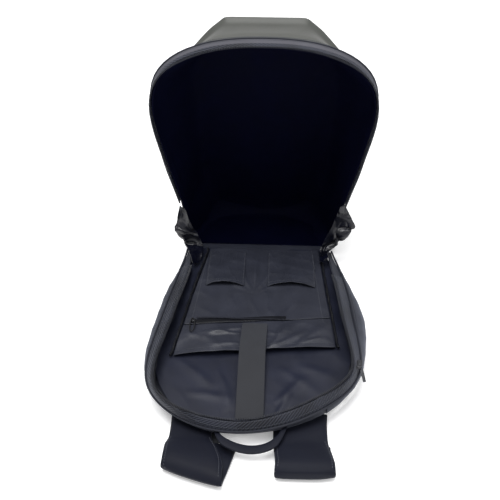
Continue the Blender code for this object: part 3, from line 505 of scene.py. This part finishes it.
def gusset_finish():
    """Thin shiny cloth with small crumples, painted lighter on their crests and darker in their hollows as
    painted highlight and shade.
    """
    made, tree, shader = nodes_of("Gusset nylon")
    folds = noise(tree, 42.0, 5.0)
    threads = wave(tree, 0.0009, (0.3, 0.2, 0.785))
    # Colour follows the crumples' height: painted highlight on their crests, painted shade in their hollows.
    tint(tree, shader, colours().gloss, folds, 0.7, 1.5)
    first = relief(tree, shader, folds, 0.0016)
    relief(tree, shader, threads, 0.00004, first)
    shader.inputs["Roughness"].default_value = 0.30
    shader.inputs["Specular IOR Level"].default_value = 0.45
    return made


def metal_finish():
    """Dark worn metal."""
    made, tree, shader = nodes_of("Zipper metal")
    patches = noise(tree, 240.0, 4.0)
    tint(tree, shader, colours().metal, patches, 0.75, 1.3)
    relief(tree, shader, patches, 0.00004)
    shader.inputs["Metallic"].default_value = 0.75
    shader.inputs["Roughness"].default_value = 0.38
    return made


def finish_of(name):
    """Material of a finish, made when it is first asked for."""
    others = {"Hard shell": shell_finish, "Gusset nylon": gusset_finish, "Zipper metal": metal_finish}
    found = bpy.data.materials.get(name)
    if found:
        return found
    return others[name]() if name in others else cloth_finish(name)


# Meshes


def keep(name, mesh, finish, *nodes):
    """Puts a finished mesh in the scene as a piece, in the place of the nodes it stands for."""
    made = bpy.data.objects.new(name, mesh)
    bpy.context.scene.collection.objects.link(made)
    mesh.materials.clear()
    mesh.materials.append(finish_of(finish))
    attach(made, "root")
    if nodes:
        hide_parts(*nodes)
    return made


def merged(node):
    """Copy of a node's mesh with its corners joined and its triangles paired."""
    work = bmesh.new()
    work.from_mesh(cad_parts[node].data)
    bmesh.ops.remove_doubles(work, verts=work.verts, dist=MERGE_DISTANCE)
    bmesh.ops.join_triangles(
        work,
        faces=work.faces,
        angle_face_threshold=PAIR_ANGLE,
        angle_shape_threshold=PAIR_SHAPE,
        cmp_seam=False,
    )
    return work


def to_mesh(name, work, smooth=True):
    """Mesh of a bmesh, which is then freed."""
    mesh = bpy.data.meshes.new(name)
    work.to_mesh(mesh)
    work.free()
    if smooth:
        mesh.shade_smooth()
    return mesh


def baked(mesh, *changes):
    """Mesh after modifiers, each given as its kind and its settings."""
    made = bpy.data.objects.new("Baking", mesh)
    bpy.context.scene.collection.objects.link(made)
    for kind, settings in changes:
        added = made.modifiers.new(kind, kind)
        for key, value in settings.items():
            setattr(added, key, value)
    graph = bpy.context.evaluated_depsgraph_get()
    result = bpy.data.meshes.new_from_object(made.evaluated_get(graph), depsgraph=graph)
    bpy.data.objects.remove(made)
    return result


def points_of(mesh):
    """Places of all the corners of a mesh."""
    values = np.empty(len(mesh.vertices) * 3)
    mesh.vertices.foreach_get("co", values)
    return values.reshape(-1, 3)


def normals_of(mesh):
    """Ways out of a mesh at all its corners."""
    values = np.empty(len(mesh.vertices) * 3)
    mesh.vertices.foreach_get("normal", values)
    return values.reshape(-1, 3)


def move(mesh, shift):
    """Shifts each corner of a mesh."""
    mesh.vertices.foreach_set("co", (points_of(mesh) + shift).ravel())
    mesh.update()


def ripple(points, length, seed, warp=0.9):
    """Smooth uneven waves from -1 to 1, about one length apart."""
    chance = np.random.default_rng(seed)
    total = np.zeros(len(points))
    bend = np.zeros(len(points))
    for _ in range(3):
        way = chance.normal(size=3)
        way *= 2.2 / length / np.linalg.norm(way)
        bend += np.sin(points @ way + chance.uniform(0, 6.28))
    for _ in range(4):
        way = chance.normal(size=3)
        way *= 2 * math.pi / length / np.linalg.norm(way) * chance.uniform(0.6, 1.3)
        total += np.sin(points @ way + chance.uniform(0, 6.28) + warp * bend)
    return total / 3


def creases(points, length, seed):
    """Sharp ridges with flat cloth between them, from 0 to 1."""
    return (1 - np.abs(np.clip(ripple(points, length, seed, 1.3), -1, 1))) ** 4


def along_rows(points, direction, length, seed, share=0.5):
    """Long folds across a direction, broken up by uneven waves."""
    way = np.array(direction, float)
    way /= np.linalg.norm(way)
    phase = points @ way * 2 * math.pi / length + 1.6 * ripple(points, length * 3.2, seed)
    soft = 0.5 + 0.5 * np.sin(phase)
    return soft**2 * (1 - share + share * (0.5 + 0.5 * ripple(points, length * 2.5, seed + 1)))


def crease_edges(work, amount, angle):
    """Holds the edges that turn by more than an angle while the piece is subdivided."""
    layer = work.edges.layers.float.get("crease_edge") or work.edges.layers.float.new("crease_edge")
    for edge in work.edges:
        if len(edge.link_faces) == 2 and edge.calc_face_angle() > angle:
            edge[layer] = amount


def fine_copy(name, node, levels, rims, facets=0.0):
    """Subdivided copy of a node, whose rims and facets hold as firmly as is given."""
    work = merged(node)
    if facets:
        crease_edges(work, facets, FACET_ANGLE)
    crease_edges(work, rims, RIM_ANGLE)
    mesh = baked(to_mesh(name, work), ("SUBSURF", {"levels": levels, "render_levels": levels}))
    mesh.name = name
    return mesh


def cloth_piece(name, node, finish, levels=3, fold=None, along=None):
    """Fine copy of a cloth node. The fold function gives each point's shift."""
    mesh = fine_copy(name, node, levels, CLOTH_RIM)
    if along is not None:
        mark_weave(mesh, along)
    if fold:
        move(mesh, fold(points_of(mesh), normals_of(mesh)))
    mesh.shade_smooth()
    return keep(name, mesh, finish, node)


def mark_weave(mesh, line):
    """Gives each point its length along a line and its distance from it."""
    points = points_of(mesh)
    run = np.concatenate([[0], np.cumsum(np.linalg.norm(np.diff(line, axis=0), axis=1))])
    tree = KDTree(len(line))
    for k, spot in enumerate(line):
        tree.insert(spot, k)
    tree.balance()
    way = np.gradient(line, axis=0)
    way /= np.linalg.norm(way, axis=1)[:, None]
    values = np.zeros((len(points), 3))
    for i, point in enumerate(points):
        k = tree.find(point)[1]
        away = point - line[k]
        ahead = away @ way[k]
        values[i, 0] = run[k] + ahead
        values[i, 1] = np.linalg.norm(away - ahead * way[k])
    mesh.attributes.new(WEAVE, "FLOAT_VECTOR", "POINT").data.foreach_set("vector", values.ravel())


def down(point):
    """Way down from any point."""
    return Vector((0, 0, -1))


def into_lid(point):
    """Way from outside the lid to its middle, in the plane of its rim."""
    way = LID_ROUND[0] - Vector(point)
    way.y = 0
    return way.normalized()


def sewn(name, over, starts, toward=down):
    """Row of stitches where rays from a line of starts meet the pieces under it."""
    size = sizes()
    pitch, radius = size.stitch_pitch, size.stitch_radius
    trees = []
    for piece in over:
        work = bmesh.new()
        work.from_mesh(piece.data)
        trees.append(BVHTree.FromBMesh(work))
        work.free()
    spots, ups = [], []
    for start in evenly(starts, max(3, int(length_of(np.asarray(starts)) / pitch))):
        hits = [tree.ray_cast(Vector(start), toward(start)) for tree in trees]
        hits = [hit for hit in hits if hit[0] is not None]
        if hits:
            spot, up = min(hits, key=lambda hit: hit[3])[:2]
            spots.append(spot + up * 0.5 * radius)
            ups.append(up)
    work = bmesh.new()
    for k, (spot, up) in enumerate(zip(spots, ups)):
        forward = spots[min(k + 1, len(spots) - 1)] - spots[max(k - 1, 0)]
        made = bmesh.ops.create_cube(work, size=1)["verts"]
        bmesh.ops.scale(work, vec=(0.66 * pitch, 2 * radius, 2 * radius), verts=made)
        bmesh.ops.transform(work, matrix=turned(spot, forward, up), verts=made)
    return keep(name, to_mesh(name, work, False), "Thread")


def above(path):
    """Line of points above a plan."""
    return [(x, y, ABOVE_ALL) for x, y in path]


def centreline(node, way_round, count):
    """Evenly spaced points along the middle of a cord that goes round a centre."""
    centre, first, second = way_round
    points = points_of(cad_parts[node].data)
    flat = points - np.array(centre)
    angle = np.arctan2(flat @ np.array(first), -(flat @ np.array(second)))
    angle = np.where(angle < 0, angle + 2 * math.pi, angle)
    order = np.argsort(angle)
    angle, points = angle[order], points[order]
    steps = np.linspace(angle[0], angle[-1], 160)
    half = 0.9 * (steps[1] - steps[0])
    line = []
    for step in steps:
        near = np.abs(angle - step) < half
        if near.sum() > 3:
            line.append(points[near].mean(0))
    return evenly(smoothed(np.array(line), 3), count)


def smoothed(line, rounds):
    """Line with its bends eased a few times."""
    for _ in range(rounds):
        line = np.vstack([line[:1], (line[:-2] + 2 * line[1:-1] + line[2:]) / 4, line[-1:]])
    return line


def evenly(line, count):
    """Points at even distances along a line."""
    line = np.asarray(line, float)
    run = np.concatenate([[0], np.cumsum(np.linalg.norm(np.diff(line, axis=0), axis=1))])
    where = np.linspace(0, run[-1], count)
    return np.stack([np.interp(where, run, line[:, k]) for k in range(3)], -1)


def length_of(line):
    """Length of a line."""
    return float(np.linalg.norm(np.diff(line, axis=0), axis=1).sum())


def turned(point, forward, up):
    """Matrix that puts X along the way forward and Z as near to up as it can be."""
    x = Vector(forward).normalized()
    y = Vector(up).cross(x).normalized()
    z = x.cross(y)
    made = Matrix((x, y, z)).transposed().to_4x4()
    made.translation = Vector(point)
    return made


def row_of(name, finish, line, ups, pitch, size, edge, *nodes):
    """Row of small blocks with cut edges along a line, for a zipper's teeth."""
    count = max(2, int(length_of(line) / pitch))
    spots = evenly(line, count)
    rises = evenly(ups, count)
    way = np.gradient(spots, axis=0)
    work = bmesh.new()
    for spot, forward, up in zip(spots, way, rises):
        made = bmesh.ops.create_cube(work, size=1, matrix=Matrix.Diagonal((*size, 1)))["verts"]
        bmesh.ops.transform(work, matrix=turned(spot, forward, up), verts=made)
    bmesh.ops.bevel(
        work,
        geom=work.edges[:],
        offset=edge,
        affect="EDGES",
        segments=1,
        profile=0.5,
        material=-1,
    )
    return keep(name, to_mesh(name, work, False), finish, *nodes)


def plump(points, way):
    """Keeps a cord as thick as it was before it was subdivided."""
    return 0.0003 * way


def pressed_folds(points, folds):
    """Long soft ridges, each from one point of the plan to another, with its width and its height."""
    total = np.zeros(len(points))
    for x1, y1, x2, y2, width, height in folds:
        start, way = np.array((x1, y1)), np.array((x2 - x1, y2 - y1))
        long = np.linalg.norm(way)
        way /= long
        away = points[:, :2] - start
        ahead = away @ way / long
        aside = away @ np.array((-way[1], way[0])) + 0.004 * np.sin(3.1 * ahead + 40 * x1)
        fade = np.clip(np.sin(np.clip(ahead, 0, 1) * math.pi), 0, 1) ** 0.6
        total += height * fade * np.exp(-((aside / (width * (0.5 + 0.8 * ahead.clip(0, 1)))) ** 2))
    return total


def upward(height):
    """Shift straight up, by each point's height."""
    rise = np.zeros((len(height), 3))
    rise[:, 2] = height
    return rise


def padded_piece(name, node, finish, voxel=None):
    """Padding that swells inside its cover: blown up a little as cloth, and held near its shape."""
    size = sizes()
    if voxel:
        start = to_mesh(name, merged(node))
        start = baked(
            start,
            ("REMESH", {"mode": "VOXEL", "voxel_size": voxel}),
            ("SMOOTH", {"iterations": 3}),
        )
        start.name = name
        move(start, -0.0008 * normals_of(start))
    else:
        start = fine_copy(name, node, 2, PAD_RIM)
    rest = points_of(start)
    made = bpy.data.objects.new("Padding", start)
    bpy.context.scene.collection.objects.link(made)
    cloth = made.modifiers.new("Cloth", "CLOTH")
    cloth.settings.quality = PAD_QUALITY
    cloth.settings.mass = PAD_WEIGHT
    cloth.settings.use_pressure = True
    cloth.settings.uniform_pressure_force = PAD_PRESSURE
    cloth.settings.effector_weights.gravity = 0
    scene = bpy.context.scene
    for step in range(1, size.pad_frames + 1):
        scene.frame_set(step)
    graph = bpy.context.evaluated_depsgraph_get()
    blown = bpy.data.meshes.new_from_object(made.evaluated_get(graph), depsgraph=graph)
    bpy.data.objects.remove(made)
    scene.frame_set(1)
    shift = points_of(blown) - rest
    far = np.linalg.norm(shift, axis=1)
    shift *= np.minimum(1, size.pad_swell / np.maximum(far, 1e-9))[:, None]
    shift[:, 2] = np.maximum(shift[:, 2], PAD_BOTTOM - rest[:, 2])
    start = blown
    start.vertices.foreach_set("co", (rest + shift).ravel())
    start.update()
    start.name = name
    start = baked(start, ("SUBSURF", {"levels": 1, "render_levels": 1}))
    start.name = name
    low = points_of(start)
    low[:, 2] = np.maximum(low[:, 2], PAD_BOTTOM)
    start.vertices.foreach_set("co", low.ravel())
    start.update()
    start.shade_smooth()
    made = keep(name, start, finish, node)
    return made


def strap_rims(strap, inset):
    """Plans of both side edges of a strap's upper face, moved in by an inset."""
    points = points_of(strap.data)
    top = (normals_of(strap.data)[:, 2] > 0.4) & (points[:, 2] > 0.012)
    points = points[top]
    rims = ([], [])
    for y in np.linspace(STRAP_SEAM_START, points[:, 1].min() + STRAP_SEAM_END, 16):
        row = points[np.abs(points[:, 1] - y) < 0.004]
        if len(row) > 3:
            rims[0].append((row[:, 0].min() + inset, y))
            rims[1].append((row[:, 0].max() - inset, y))
    return rims


def face_with_mesh(strap):
    """Gives the strap's sides and its underside the spacer mesh."""
    mesh = strap.data
    mesh.materials.append(finish_of("Strap mesh"))
    middle = np.mean([vert.co.x for vert in mesh.vertices])
    for face in mesh.polygons:
        side = face.normal.x * (1 if middle > 0 else -1)
        if face.normal.z < -0.3 or side > 0.55:
            face.material_index = 1


# Pieces


class BuildShell(bpy.types.Operator):
    """Hard shell of the lid, with rounded facets and a matt grained face"""

    bl_idname = "backpack.shell"
    bl_label = "Hard Shell"

    def execute(self, context):
        mesh = fine_copy("shell_face", "lid_shell", 3, SHELL_RIM, SHELL_FACET)
        keep("shell_face", mesh, "Hard shell", "lid_shell")
        return {"FINISHED"}


class BuildLidCloth(bpy.types.Operator):
    """Dark lining with painted shade, woven band, piping and zipper of the lid"""

    bl_idname = "backpack.lid_cloth"
    bl_label = "Lid Cloth"

    def execute(self, context):
        size = sizes()

        def slack(points, way):
            return way * (0.0012 * ripple(points, 0.11, 3))[:, None]

        cloth_piece("lid_inside", "lid_lining", "Lid lining", 2, slack)
        centre = np.array(LID_ROUND[0])
        coil = centreline("lid_zip_coil", LID_ROUND, 400)
        band = cloth_piece("lid_woven_band", "lid_band", "Lid band", 3, along=coil)
        cloth_piece("lid_tape", "lid_zip_tape", "Zipper tape", 2, along=coil)
        pitch = size.tooth_pitch
        shape = (0.55 * pitch, 0.7 * size.tooth_width, LID_TOOTH_HEIGHT)
        row_of("lid_teeth", "Zipper teeth", coil, coil - centre, pitch, shape, TOOTH_EDGE, "lid_zip_coil")
        cloth_piece("lid_cord", "lid_piping", "Outer nylon", 1, plump)
        piping = centreline("lid_piping", LID_ROUND, 300)
        out = piping - centre
        out[:, 1] = 0
        out /= np.linalg.norm(out, axis=1)[:, None]
        shell = bpy.data.objects["shell_face"]
        rows = (("shell_stitches", shell, SHELL_SEAM), ("band_stitches", band, BAND_SEAM))
        for name, piece, depth in rows:
            sewn(name, [piece], piping + 0.03 * out + np.array((0, depth, 0)), into_lid)
        return {"FINISHED"}


class BuildTrayOutside(bpy.types.Operator):
    """Outer wall, side panels, zipper tape, teeth, piping and stitching of the tray"""

    bl_idname = "backpack.tray_outside"
    bl_label = "Tray Outside"

    def execute(self, context):
        size = sizes()

        def sag(points, way):
            return way * (0.00035 * ripple(points, 0.06, 11))[:, None]

        def puff(points, way):
            return way * (0.0007 * along_rows(points, (0.2, 1, 0.4), 0.035, 12))[:, None]

        cloth_piece("tray_outer_wall", "tray_wall", "Outer nylon", 2, sag)
        for side in ("left", "right"):
            cloth_piece(f"tray_side_panel_{side}", f"tray_side_{side}", "Side weave", 3, puff)
        coil = centreline("tray_zip_coil", TRAY_ROUND, 400)
        tape = cloth_piece("tray_tape", "tray_zip_tape", "Zipper tape", 2, along=coil)
        ups = np.repeat([(0, 0, 1.0)], len(coil), 0)
        pitch = size.tooth_pitch
        shape = (0.55 * pitch, size.tooth_width, TRAY_TOOTH_HEIGHT)
        row_of("tray_teeth", "Zipper teeth", coil, ups, pitch, shape, TOOTH_EDGE, "tray_zip_coil")
        cloth_piece("tray_cord", "tray_piping", "Outer nylon", 1, plump)
        piping = centreline("tray_piping", TRAY_ROUND, 400)
        for k, share in enumerate(TAPE_SEAMS):
            plan = ((1 - share) * coil + share * piping)[:, :2]
            sewn(f"tape_stitches_{k + 1}", [tape], above(plan))
        return {"FINISHED"}


class BuildTrayLining(bpy.types.Operator):
    """Satin lining of the tray, with soft folds"""

    bl_idname = "backpack.tray_lining"
    bl_label = "Tray Lining"

    def execute(self, context):
        depth = sizes().lining_fold

        def floor_folds(points, way):
            height = 0.30 * along_rows(points, (0.8, 0.6, 0), 0.06, 21) + 0.12 * creases(points, 0.06, 22)
            return upward(depth * (height + pressed_folds(points, FLOOR_FOLDS)))

        def wall_folds(points, way):
            inward = np.array(TRAY_ROUND[0]) - points
            inward[:, 2] = 0
            inward /= np.linalg.norm(inward, axis=1)[:, None]
            height = 0.6 * along_rows(points, (0.5, 0.5, 0.7), 0.03, 23) + 0.6 * creases(points, 0.035, 24)
            return inward * (depth * height)[:, None]

        # The floor's and the walls' linings are darkened copies of the satin lining: painted shade, deeper
        # on the walls.
        cloth_piece("tray_floor_cloth", "lining_floor", "Floor lining", 3, floor_folds)
        cloth_piece("tray_wall_cloth", "lining_wall", "Side lining", 3, wall_folds)
        cloth_piece("hinge_inner_cloth", "hinge_lining", "Satin lining", 2)
        cloth_piece("hinge_outer_cloth", "hinge_panel", "Outer nylon", 3)
        return {"FINISHED"}


class BuildOrganiser(bpy.types.Operator):
    """Organiser panel, sleeve, pockets, gathered bindings and the sleeve's strap"""

    bl_idname = "backpack.organiser"
    bl_label = "Organiser"

    def execute(self, context):
        depth = sizes().lining_fold

        def panel_folds(points, way):
            across, away = points[:, 0] - PLEATS_MIDDLE[0], points[:, 1] - PLEATS_MIDDLE[1]
            middle = np.exp(-((across / PLEATS_REACH) ** 2)) * np.exp(-((away / PLEATS_REACH) ** 2))
            fan = np.arctan2(across, away + 0.055)
            pleats = (0.5 + 0.5 * np.cos(fan * PLEATS_COUNT)) ** 2
            return upward(depth * (0.30 * creases(points, 0.07, 32) + 1.6 * middle * pleats))

        def sleeve_folds(points, way):
            soft = 0.35 * along_rows(points, (0.7, -0.7, 0), 0.05, 33, 0.6)
            soft += 0.15 * creases(points, 0.05, 34)
            return upward(depth * (soft + pressed_folds(points, SLEEVE_FOLDS)))

        def pocket_folds(points, way):
            height = 0.3 * along_rows(points, (0.4, 1, 0), 0.03, 35) + 0.25 * creases(points, 0.03, 36)
            return upward(depth * height)

        def tuck(points, way):
            slide = np.zeros_like(points)
            slide[:, 1] = -TUCK_DEPTH * np.clip((TUCK_START - points[:, 1]) / TUCK_LENGTH, 0, 1)
            return slide

        def gathers(points, way):
            waves = np.sin(points[:, 1] * GATHER_WAVES + 2 * ripple(points, 0.03, 37))
            return way * (GATHER_HEIGHT * waves)[:, None]

        panel = cloth_piece("organiser_panel", "organiser_upper", "Satin lining", 3, panel_folds)
        sleeve = cloth_piece("device_sleeve", "organiser_sleeve", "Satin lining", 3, sleeve_folds)
        covers = [panel, sleeve]
        for side in ("left", "right"):
            pocket = cloth_piece(f"small_pocket_{side}", f"pocket_{side}", "Satin lining", 3, pocket_folds)
            covers.append(pocket)
            # The bindings take the lining darkened as painted shade.
            cloth_piece(f"gathered_binding_{side}", f"binding_{side}", "Side lining", 3, gathers)
        cloth_piece("sleeve_webbing", "sleeve_strap", "Webbing", 3, tuck)
        low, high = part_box("organiser_sleeve")
        middle = 0.5 * (low[0] + high[0])
        spots = (low[0] + 0.004, middle, high[0] - 0.004)
        sewn("sleeve_hem", [sleeve], above((x, SLEEVE_EDGE + SLEEVE_SLANT * x + HEM) for x in spots))
        for side, pocket in zip(("left", "right"), covers[2:]):
            low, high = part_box(f"pocket_{side}")
            mouth = low[1] + HEM
            sewn(f"pocket_hem_{side}", [pocket], above(((low[0] + 0.003, mouth), (high[0] - 0.003, mouth))))
            for k, x in enumerate((low[0] + 0.0022, high[0] - 0.0022)):
                ends = ((x, low[1] + 0.004), (x, high[1] - 0.004))
                sewn(f"pocket_seam_{side}_{k + 1}", covers, above(ends))
        low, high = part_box("organiser_upper")
        for side, x, shift in (("left", low[0] + 0.012, 0.014), ("right", high[0] - 0.012, -0.014)):
            sewn(f"panel_seam_{side}", covers, above(((x, low[1] + 0.012), (x + shift, high[1] - 0.004))))
        return {"FINISHED"}


class BuildSlitZipper(bpy.types.Operator):
    """Zipped slit of the organiser, with its slider and ring pull"""

    bl_idname = "backpack.slit_zipper"
    bl_label = "Slit Zipper"

    def execute(self, context):
        # The slit's tape takes the lining darkened as painted shade.
        cloth_piece("slit_zip_tape", "slit_tape", "Side lining", 2)
        low, high = (np.array(corner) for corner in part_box("slit_coil"))
        middle = 0.5 * (low + high)
        points = points_of(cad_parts["slit_coil"].data)
        line = []
        for x in np.linspace(low[0], high[0], 40):
            near = np.abs(points[:, 0] - x) < 0.008
            height = np.average(points[near, 2], weights=1.01 - np.abs(points[near, 0] - x) / 0.008)
            line.append((x, middle[1], height))
        line = np.array(line)
        ups = np.repeat([(0, 0, 1.0)], len(line), 0)
        row_of("slit_teeth", "Zipper teeth", line, ups, SLIT_PITCH, SLIT_TOOTH, SLIT_TOOTH_EDGE, "slit_coil")
        slider_piece("slit_zip_slider", "slit_slider", "X")
        cloth_piece("slit_zip_ring", "slit_pull", "Zipper metal", 2)
        return {"FINISHED"}


def slider_piece(name, node, axis):
    """Zipper slider: two plates with a waist, and the bridge that holds the pull."""
    work = merged(node)
    low, high = (Vector(corner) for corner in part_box(node))
    middle = 0.5 * (low + high)
    size = high - low
    bmesh.ops.subdivide_edges(work, edges=work.edges[:], cuts=2, use_grid_fill=True)
    lengthways = 0 if axis == "X" else 1
    for vert in work.verts:
        share = abs(vert.co[lengthways] - middle[lengthways]) / (0.5 * size[lengthways])
        vert.co.z = middle.z + (vert.co.z - middle.z) * (0.72 + 0.28 * share)
    made = bmesh.ops.create_cube(work, size=1)
    reach = [0.55 * s for s in size]
    reach[1 - lengthways] = 0.28 * size[1 - lengthways]
    bmesh.ops.scale(work, vec=(reach[0], reach[1], 0.5 * size.z), verts=made["verts"])
    bmesh.ops.translate(work, vec=middle + Vector((0, 0, 0.38 * size.z)), verts=made["verts"])
    mesh = to_mesh(name, work)
    mesh = baked(
        mesh,
        ("BEVEL", {"width": SLIDER_EDGE, "segments": 2, "limit_method": "ANGLE", "angle_limit": 0.6}),
    )
    mesh.shade_smooth()
    mesh.set_sharp_from_angle(angle=math.radians(45))
    return keep(name, mesh, "Zipper metal", node)


class BuildMainSlider(bpy.types.Operator):
    """Slider and hanging pull of the main zipper"""

    bl_idname = "backpack.main_slider"
    bl_label = "Main Slider"

    def execute(self, context):
        slider_piece("main_zip_slider", "main_slider", "Y")
        cloth_piece("main_zip_pull", "main_pull", "Zipper metal", 2)
        return {"FINISHED"}


def curved(points, count):
    """Smooth curve through points."""
    points = np.asarray(points, float)
    ends = np.vstack([2 * points[0] - points[1], points, 2 * points[-1] - points[-2]])
    made = []
    for share in np.linspace(0, len(points) - 1, count):
        k = min(int(share), len(points) - 2)
        t = share - k
        a, b, c, d = ends[k : k + 4]
        square, cube = 2 * a - 5 * b + 4 * c - d, 3 * b - a - 3 * c + d
        made.append(0.5 * (2 * b + (c - a) * t + square * t**2 + cube * t**3))
    return np.array(made)


class BuildGussets(bpy.types.Operator):
    """Shiny folded gussets at both ends of the hinge"""

    bl_idname = "backpack.gussets"
    bl_label = "Gussets"

    def execute(self, context):
        depth = sizes().gusset_fold
        for seed, (side, columns) in enumerate(GUSSETS.items()):
            edges = [curved(np.array(column), GUSSET_ROWS + 1) for column in columns]
            rows = [curved(points, GUSSET_COLUMNS + 1) for points in zip(*edges)]
            work = bmesh.new()
            bmesh.ops.create_grid(work, x_segments=GUSSET_COLUMNS, y_segments=GUSSET_ROWS, size=1)
            for vert in work.verts:
                row = rows[round(0.5 * GUSSET_ROWS * (vert.co.y + 1))]
                vert.co = row[round(0.5 * GUSSET_COLUMNS * (vert.co.x + 1))]
            bmesh.ops.recalc_face_normals(work, faces=work.faces)
            name = f"gusset_cloth_{side}"
            mesh = to_mesh(name, work)
            points, way = points_of(mesh), normals_of(mesh)
            high = 1.2 * ripple(points, 0.040, 41 + seed) + 1.5 * creases(points, 0.034, 43 + seed) - 0.5
            high += 0.25 * creases(points, 0.020, 45 + seed)
            move(mesh, way * (depth * high)[:, None])
            mesh = baked(mesh, ("SOLIDIFY", {"thickness": GUSSET_THICKNESS, "offset": 0}))
            mesh.name = name
            mesh.shade_smooth()
            made = keep(name, mesh, "Gusset nylon", f"gusset_{side}")
        return {"FINISHED"}


class BuildCarrying(bpy.types.Operator):
    """Padded shoulder straps, handle, webbing and the pads under the back"""

    bl_idname = "backpack.carrying"
    bl_label = "Straps And Pads"

    def execute(self, context):
        for side in ("left", "right"):
            strap = padded_piece(f"padded_strap_{side}", f"shoulder_strap_{side}", "Strap cloth")
            face_with_mesh(strap)
            for k, rim in enumerate(strap_rims(strap, STRAP_SEAM)):
                sewn(f"strap_stitches_{side}_{k + 1}", [strap], above(rim))
            cloth_piece(f"lower_webbing_{side}", f"webbing_{side}", "Webbing", 2)
        padded_piece("lumbar_cushion", "back_pad_lumbar", "Side weave", LUMBAR_VOXEL)
        padded_piece("upper_cushion", "back_pad_upper", "Side weave", UPPER_VOXEL)
        low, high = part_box("carry_handle")

        def reach_in(points, way):
            share = np.abs(points[:, 0] - 0.5 * (low[0] + high[0])) / (0.5 * (high[0] - low[0]))
            slide = np.zeros_like(points)
            slide[:, 1] = HANDLE_REACH * np.clip((share - HANDLE_BEND) / (1 - HANDLE_BEND), 0, 1) ** 1.5
            return slide

        cloth_piece("handle_webbing", "carry_handle", "Strap cloth", 2, reach_in)

        def quilt(points, way):
            return way * (QUILT_HEIGHT * np.sin(points[:, 0] * QUILT_WAVES))[:, None]

        cloth_piece("back_cushion", "back_panel", "Side weave", 2, quilt)
        return {"FINISHED"}


class BuildStage(bpy.types.Operator):
    """Pale floor, soft lights and the camera"""

    bl_idname = "backpack.stage"
    bl_label = "Stage"

    def execute(self, context):
        scene = context.scene
        work = bmesh.new()
        bmesh.ops.create_grid(work, x_segments=1, y_segments=1, size=6)
        mesh = to_mesh("floor", work)
        made, tree, shader = nodes_of("Pale floor")
        tint(tree, shader, colours().floor, noise(tree, 3.0), 0.995, 1.005)
        shader.inputs["Roughness"].default_value = 0.9
        shader.inputs["Emission Color"].default_value = (1, 1, 1, 1)
        shader.inputs["Emission Strength"].default_value = FLOOR_GLOW
        mesh.materials.append(made)
        floor = bpy.data.objects.new("floor", mesh)
        scene.collection.objects.link(floor)
        world = bpy.data.worlds.new("Soft studio")
        world.use_nodes = True
        backdrop = world.node_tree.nodes["Background"]
        backdrop.inputs["Color"].default_value = (1, 1, 1, 1)
        backdrop.inputs["Strength"].default_value = WORLD_STRENGTH
        scene.world = world
        scene.view_settings.view_transform = "Standard"
        for name, spot, size, power in LAMPS:
            lamp = bpy.data.lights.new(name, "AREA")
            lamp.energy = power
            lamp.size = size
            made = bpy.data.objects.new(name, lamp)
            made.location = spot
            aim = Vector(LAMPS_AIM) - made.location
            made.rotation_euler = aim.to_track_quat("-Z", "Y").to_euler()
            scene.collection.objects.link(made)
        camera = bpy.data.cameras.new("camera")
        camera.lens = LENS
        camera.sensor_width = SENSOR
        made = bpy.data.objects.new("camera", camera)
        yaw, pitch = math.radians(CAMERA_TURN), math.radians(CAMERA_TILT)
        across = Vector((math.cos(yaw), math.sin(yaw), 0))
        flat = math.cos(pitch)
        ahead = Vector((-math.sin(yaw) * flat, math.cos(yaw) * flat, -math.sin(pitch)))
        matrix = Matrix((across, across.cross(ahead), -ahead)).transposed().to_4x4()
        matrix.translation = CAMERA_PLACE
        made.matrix_world = matrix
        scene.collection.objects.link(made)
        scene.camera = made
        return {"FINISHED"}


class BackpackPanel(bpy.types.Panel):
    """Lists the backpack's colours, sizes and pieces"""

    bl_idname = "VIEW3D_PT_backpack"
    bl_label = "Backpack"
    bl_space_type = "VIEW_3D"
    bl_region_type = "UI"
    bl_category = "Backpack"

    def draw(self, context):
        layout = self.layout
        for group in (context.scene.backpack_colours, context.scene.backpack_sizes):
            column = layout.column(align=True)
            for key in group.__annotations__:
                column.prop(group, key)
        for operator in OPERATORS:
            layout.operator(operator.bl_idname)


OPERATORS = (
    BuildShell,
    BuildLidCloth,
    BuildTrayOutside,
    BuildTrayLining,
    BuildOrganiser,
    BuildSlitZipper,
    BuildMainSlider,
    BuildGussets,
    BuildCarrying,
    BuildStage,
)
CLASSES = (BackpackColours, BackpackSizes, *OPERATORS, BackpackPanel)


def register():
    for entry in CLASSES:
        bpy.utils.register_class(entry)
    bpy.types.Scene.backpack_colours = PointerProperty(type=BackpackColours)
    bpy.types.Scene.backpack_sizes = PointerProperty(type=BackpackSizes)


def unregister():
    del bpy.types.Scene.backpack_sizes
    del bpy.types.Scene.backpack_colours
    for entry in reversed(CLASSES):
        bpy.utils.unregister_class(entry)


def main():
    """Builds the pieces in order."""
    register()
    bpy.ops.backpack.shell()
    bpy.ops.backpack.lid_cloth()
    bpy.ops.backpack.tray_outside()
    bpy.ops.backpack.tray_lining()
    bpy.ops.backpack.organiser()
    bpy.ops.backpack.slit_zipper()
    bpy.ops.backpack.main_slider()
    bpy.ops.backpack.gussets()
    bpy.ops.backpack.carrying()
    bpy.ops.backpack.stage()


if __name__ == "__main__":
    main()
